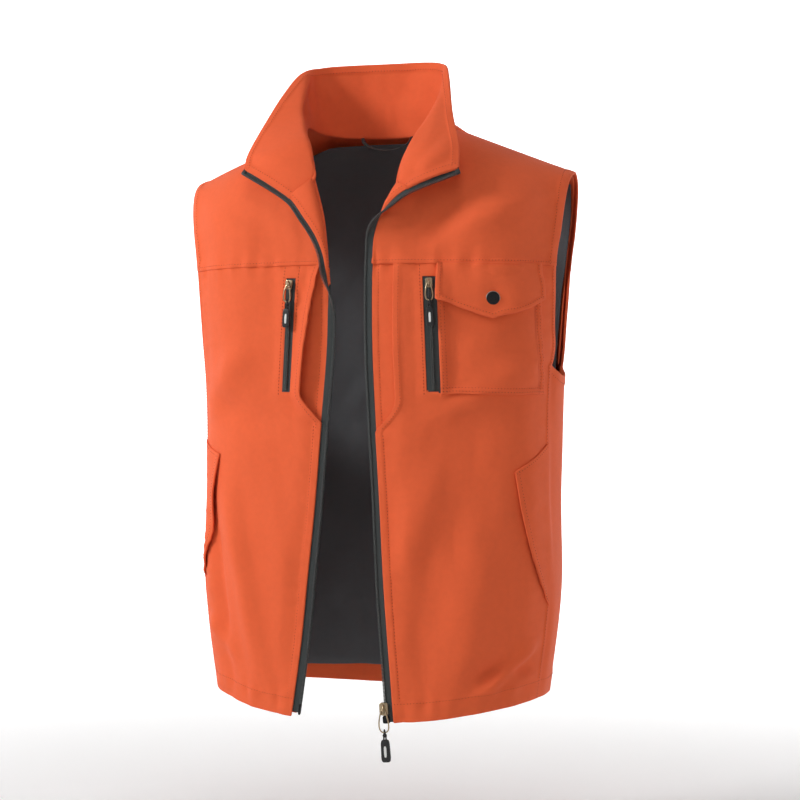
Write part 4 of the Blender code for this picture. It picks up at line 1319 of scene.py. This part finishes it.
def pocket_flap():
    columns = np.unique(np.append(stations(0.112, 0.0035), FLAP_PEAK))
    x = arc_x(pocket_inner(YOKE_Z), POCKET_OUT + 0.0015, columns[None, :], YOKE_Z)
    peak = np.interp(columns, [0, FLAP_PEAK, 1], [0, 1, 0])
    low = mix(FLAP_SIDE_Z, FLAP_POINT_Z, peak)[None, :]
    v = stations(0.055, 0.003)[:, None]
    z = mix(low, YOKE_Z - 0.0004, v)
    calmer = 1 - 0.45 * smooth(0.55, 1.0, columns)[None, :]
    rise = 0.0022 + 0.0078 * smooth(0.0, 0.80, 1 - v) * calmer + 0.5 * zip_lips(1, x, z)
    curl = 0.0006 * np.exp(-v / 0.10) * (1 + 0.6 * ripple(x, z, 0.05, 95)) * np.abs(x - SNAP_X) / 0.05
    grid, _ = front_skin(1, x, z, rise + curl)
    panel = Panel("pocket_flap_cloth", grid, normals_of(grid), thick=0.0018,
                  hems={"left": 0.0045, "right": 0.0045, "bottom": 0.0045}, puff=0.0010)
    piece = as_cloth(panel, ORANGE, ["pocket_flap"])
    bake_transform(piece)
    return panel


def snap():
    seat, out = front_skin(1, np.array(SNAP_X), np.array(SNAP_Z))
    place = frame_of(out, (0, 0, 1), seat + out * 0.0094)
    radius = 0.0074
    dome = [(0.0, 0.0), (0.0070, 0.0), (radius, 0.0004), (radius, 0.0010)]
    for turn in np.linspace(0.15, math.pi / 2, 9):
        dome.append((radius * math.cos(turn), 0.0010 + 0.0014 * math.sin(turn)))
    solid("snap_button", [lathe(dome)], place, BLACK_METAL, "flap", ["snap_cap"])
    rim = [(0.0076, 0.0), (0.0080, 0.0), (0.0081, 0.0004), (0.0079, 0.0008), (0.0077, 0.0010),
           (0.0073, 0.0008), (0.0073, 0.0), (0.0076, 0.0)]
    solid("snap_rim", [lathe(rim)], place, PALE_METAL, "flap")


def hand_welt(side, hand):
    """Slanted strip over the pocket mouth, free along its inner edge."""
    v = stations(0.165, 0.004)[:, None]
    columns = stations(0.036, 0.003)[None, :]
    share = 1 - v
    free_x = mix(WELT_TOP[side][0], WELT_BOTTOM[side][0], share) - 0.0035 * np.sin(math.pi * share)
    free_z = mix(WELT_TOP[side][1], WELT_BOTTOM[side][1], share)
    seam_z = mix(WELT_SEAM_Z[side][0], WELT_SEAM_Z[side][1], share)
    sewn = outer_x(side, seam_z) - 0.0010
    x = arc_x(free_x, sewn, columns, seam_z)
    z = mix(free_z, seam_z, columns)
    open_by = 0.0042 if side < 0 else 0.0022
    stand = 0.0016 + open_by * np.sin(math.pi * v) ** 0.7 * (1 - smooth(0, 0.8, columns))
    grid, _ = front_skin(side, x, z, stand)
    panel = Panel("hand_welt_cloth_" + hand, grid, normals_of(grid), side, thick=0.0016,
                  hems={"left": 0.0050}, puff=0.0005)
    as_cloth(panel, ORANGE, ["hand_welt_" + hand])
    swing_side(panel.object)
    return panel


def bags_and_loop():
    for side, hand in SIDES:
        z = np.linspace(-0.345, -0.182, 24)[:, None]
        x = CHEST_X[side][1] - 0.016 + 0.092 * np.linspace(0, 1, 20)[None, :]
        grid, normals = front_skin(side, x, z, BAG_LIFT)
        bag = Panel("chest_bag_cloth_" + hand, grid, normals, side, thick=0.0018)
        as_cloth(bag, GREY, ["chest_pocket_bag_" + hand])
        swing_side(bag.object)
        z = np.linspace(-0.600, -0.395, 30)[:, None]
        x = arc_x(0.085, 0.180, np.linspace(0, 1, 24)[None, :], z)
        grid, normals = front_skin(side, x, z, BAG_LIFT)
        bag = Panel("hand_bag_cloth_" + hand, grid, normals, side, thick=0.0018)
        as_cloth(bag, GREY, ["hand_pocket_bag_" + hand])
        swing_side(bag.object)
    angle = np.linspace(0, math.pi, 30)[:, None]
    across = np.linspace(-0.0060, 0.0060, 7)[None, :]
    x = CENTRE - 0.030 * np.cos(angle) + 0 * across
    z = -0.002 - 0.016 * np.sin(angle) + 0.2 * across
    y = 0.0555 - 0.004 * np.sin(angle) + across * 0.9
    grid = np.stack(np.broadcast_arrays(x, y, z), axis=-1)
    loop = Panel("hanger_ribbon", grid, normals_of(grid), thick=0.0012)
    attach(as_cloth(loop, TAPE_CLOTH, ["hanger_loop"]), "torso")


def armhole_facing(side, hand):
    """Turned facing inside the armhole, up the front yoke, over the shoulder and down the back."""
    strips = []
    for order, bottom in ((1, YOKE_Z), (-1, ARMPIT_Z)):
        shares = np.sin(math.pi / 2 * np.linspace(0, 0.93, 40))[::order, None]
        z = mix(bottom + 0.002, -SHOULDER_DROP, shares)
        inward = np.linspace(0.0012, 0.020, 10)[None, :]
        x = armhole_x(side, z) - inward
        height = mix(bottom + 0.002, shoulder_z(x), shares)
        skin = front_skin(side, x, height, -0.0038) if order > 0 else back_skin(x, height, -0.0038)
        strips.append(skin[0])
    grid = np.concatenate(strips)[:, ::-1]
    panel = Panel("armhole_facing_cloth_" + hand, grid, normals_of(grid), side, thick=0.0009)
    as_cloth(panel, ORANGE_INSIDE, ["armhole_facing_" + hand])
    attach(panel.object, "torso")


# ------------------------------------------------------------------ seams

def stitch_fronts(side, hand, panels):
    body, yoke, collar = panels["body"], panels["yoke"], panels["collar"]
    welt, flank = panels["welt"], panels["flank"]
    lines = [body.line("bottom", HEM_STITCH), body.line("right", 0.0042)]
    z = np.linspace(mouth_bottom(side) - 0.004, hem_z(edge_x(side, HEM_SIDE)) + 0.004, 120)
    x = edge_x(side, z) + 0.0078
    lines.append(on_front(side, list(zip(x, z)), STITCH_REST + edge_rise(side, x, z)))
    lines.append(panels["placket"].line("left", 0.0070, 0.08, 1.0))
    lines.append(body.line("left", 0.0052, 0.62, 1.0))
    z = np.linspace(CHEST_BOTTOM - 0.004, YOKE_Z - 0.002, 70)
    for s in (-1, 1):
        x = zip_x(side, z) + s * (CHEST_TAPE[side] / 2 + 0.0028)
        lines.append(on_front(side, list(zip(x, z)), zip_lips(side, x, z) + STITCH_REST))
    stitched("front_stitches_" + hand, lines, side)
    lines = [yoke.line("bottom", YOKE_STITCH), yoke.line("right", ARMHOLE_STITCH)]
    lines.append(yoke.line("top", 0.0050, 0.25, 1.0))
    stitched("yoke_stitches_" + hand, lines, side, axis="z")
    lines = [collar.line("top", 0.0068), collar.line("right", 0.0060), panels["lapel"].line("right", 0.0052)]
    stitched("collar_stitches_" + hand, lines, side, axis="z")
    lines = [welt.line("left", 0.0046), welt.line("top", 0.0030), welt.line("bottom", 0.0030)]
    stitched("welt_stitches_" + hand, lines, side)
    lines = [flank.line("bottom", HEM_STITCH), flank.line("top", 0.0080)]
    stitched("side_stitches_" + hand, lines, body="torso")


def stitch_pocket(pocket, flap):
    edges = ("left", "right", "bottom")
    lines = [pocket.line(edge, inset) for inset in (0.0022, 0.0062) for edge in edges]
    stitched("pocket_stitches", lines, body="front_left")
    stitched("flap_stitches", [flap.line(edge, 0.0038) for edge in edges], body="flap")


def stitch_back(panel, yoke):
    lines = [panel.line("bottom", HEM_STITCH), yoke.line("bottom", YOKE_STITCH)]
    lines += [yoke.line(edge, ARMHOLE_STITCH) for edge in ("left", "right")]
    stitched("back_stitches", lines, body="torso")


# ------------------------------------------------------------------ stage

FLOOR_Z = -0.86
FLOOR_RADIUS = 4.5
SWEEP_RADIUS = 1.8
WALL_TOP = 7.0


def glow_of(tree, coords):
    """Glow of the studio: stronger far out and towards the back, fading above the camera."""
    split = tree.nodes.new("ShaderNodeSeparateXYZ")
    tree.links.new(coords, split.inputs["Vector"])
    flat = tree.nodes.new("ShaderNodeVectorMath")
    flat.operation = "MULTIPLY"
    flat.inputs[1].default_value = (1, 1, 0)
    tree.links.new(coords, flat.inputs[0])
    radius = tree.nodes.new("ShaderNodeVectorMath")
    radius.operation = "LENGTH"
    tree.links.new(flat.outputs["Vector"], radius.inputs[0])
    near = map_range(tree, radius.outputs["Value"], 0.3, 2.8, 0.12, 0.98)
    high = map_range(tree, split.outputs["Z"], 1.6, 2.6, 1.0, 0.10)
    behind = map_range(tree, split.outputs["Y"], -0.6, 1.2, 0.05, 1.0)
    return math_node(tree, "MULTIPLY", math_node(tree, "MULTIPLY", near, high), behind)


def make_stage():
    """A white round studio: flat floor, rising all round into a wall that glows level with the camera."""
    made, shader = shader_of("stage_white", (0.86, 0.86, 0.86), 0.9)
    tree = made.node_tree
    coords = tree.nodes.new("ShaderNodeTexCoord").outputs["Object"]
    tree.links.new(glow_of(tree, coords), shader.inputs["Emission Strength"])
    shader.inputs["Emission Color"].default_value = (1, 1, 1, 1)
    profile = [(0.0, FLOOR_Z), (FLOOR_RADIUS, FLOOR_Z)]
    bends = 12
    for k in range(1, bends + 1):
        angle = math.pi / 2 * k / bends
        out, up = math.sin(angle), 1 - math.cos(angle)
        profile.append((FLOOR_RADIUS + SWEEP_RADIUS * out, FLOOR_Z + SWEEP_RADIUS * up))
    profile.append((FLOOR_RADIUS + SWEEP_RADIUS, FLOOR_Z + WALL_TOP))
    floor = new_mesh("studio_floor", *lathe(profile, steps=64))
    floor.data.materials.append(made)


def area_light(name, place, target, size, power, colour=(1, 1, 1)):
    data = bpy.data.lights.new(name, "AREA")
    data.shape = "DISK"
    data.size = size
    data.energy = power
    data.color = colour
    made = bpy.data.objects.new(name, data)
    bpy.context.scene.collection.objects.link(made)
    made.location = place
    made.rotation_mode = "QUATERNION"
    made.rotation_quaternion = (Vector(target) - Vector(place)).to_track_quat("-Z", "Y")
    made.visible_camera = False


def make_lights():
    world = bpy.data.worlds.new("studio")
    world.use_nodes = True
    world.node_tree.nodes["Background"].inputs["Color"].default_value = (1, 1, 1, 1)
    world.node_tree.nodes["Background"].inputs["Strength"].default_value = 0.04
    bpy.context.scene.world = world
    middle = (0.0, 0.0, -0.25)
    area_light("key", (-1.90, -1.50, 0.90), middle, 0.70, 43)
    area_light("top", (0.20, -0.90, 1.80), middle, 0.70, 9)
    area_light("fill", (1.6, -2.2, 0.1), middle, 1.8, 0.5)
    area_light("back_left", (-1.8, 1.5, 0.9), middle, 1.2, 2)
    area_light("back_right", (1.8, 1.5, 0.9), middle, 1.2, 2)


CAMERA_TURN = 15
CAMERA_LENS = 89.2
CAMERA_DISTANCE = 2.3


def make_camera():
    turn = math.radians(CAMERA_TURN)
    right = Vector((math.cos(turn), math.sin(turn), 0))
    away = Vector((math.sin(turn), -math.cos(turn), 0))
    target = Vector((0, 0, -0.314)) + right * 0.0197
    data = bpy.data.cameras.new("camera")
    data.sensor_width = 36
    data.lens = CAMERA_LENS
    camera = bpy.data.objects.new("camera", data)
    bpy.context.scene.collection.objects.link(camera)
    camera.location = target + away * CAMERA_DISTANCE
    camera.rotation_mode = "QUATERNION"
    camera.rotation_quaternion = (-away).to_track_quat("-Z", "Y")
    bpy.context.scene.camera = camera
    bpy.context.scene.view_settings.view_transform = "Standard"


# ------------------------------------------------------------------ the whole vest

def build():
    for side, hand in SIDES:
        panels = {
            "body": front_panel(side, hand), "placket": placket_panel(side, hand),
            "flank": side_panel(side, hand), "yoke": front_yoke(side, hand), "lapel": lapel(side, hand),
            "collar": collar_half(side, hand), "welt": hand_welt(side, hand)}
        main_zip(side, hand)
        chest_zip(side, hand)
        armhole_facing(side, hand)
        stitch_fronts(side, hand, panels)
    stitch_pocket(patch_pocket(), pocket_flap())
    stitch_back(*back_pieces())
    snap()
    linings()
    bags_and_loop()
    main_pull()
    zip_end_pieces()
    for node in frame["nodes"].values():
        if not node.hide_render:
            node.data.materials.clear()
            node.data.materials.append(BRASS)


build()
make_stage()
make_lights()
make_camera()
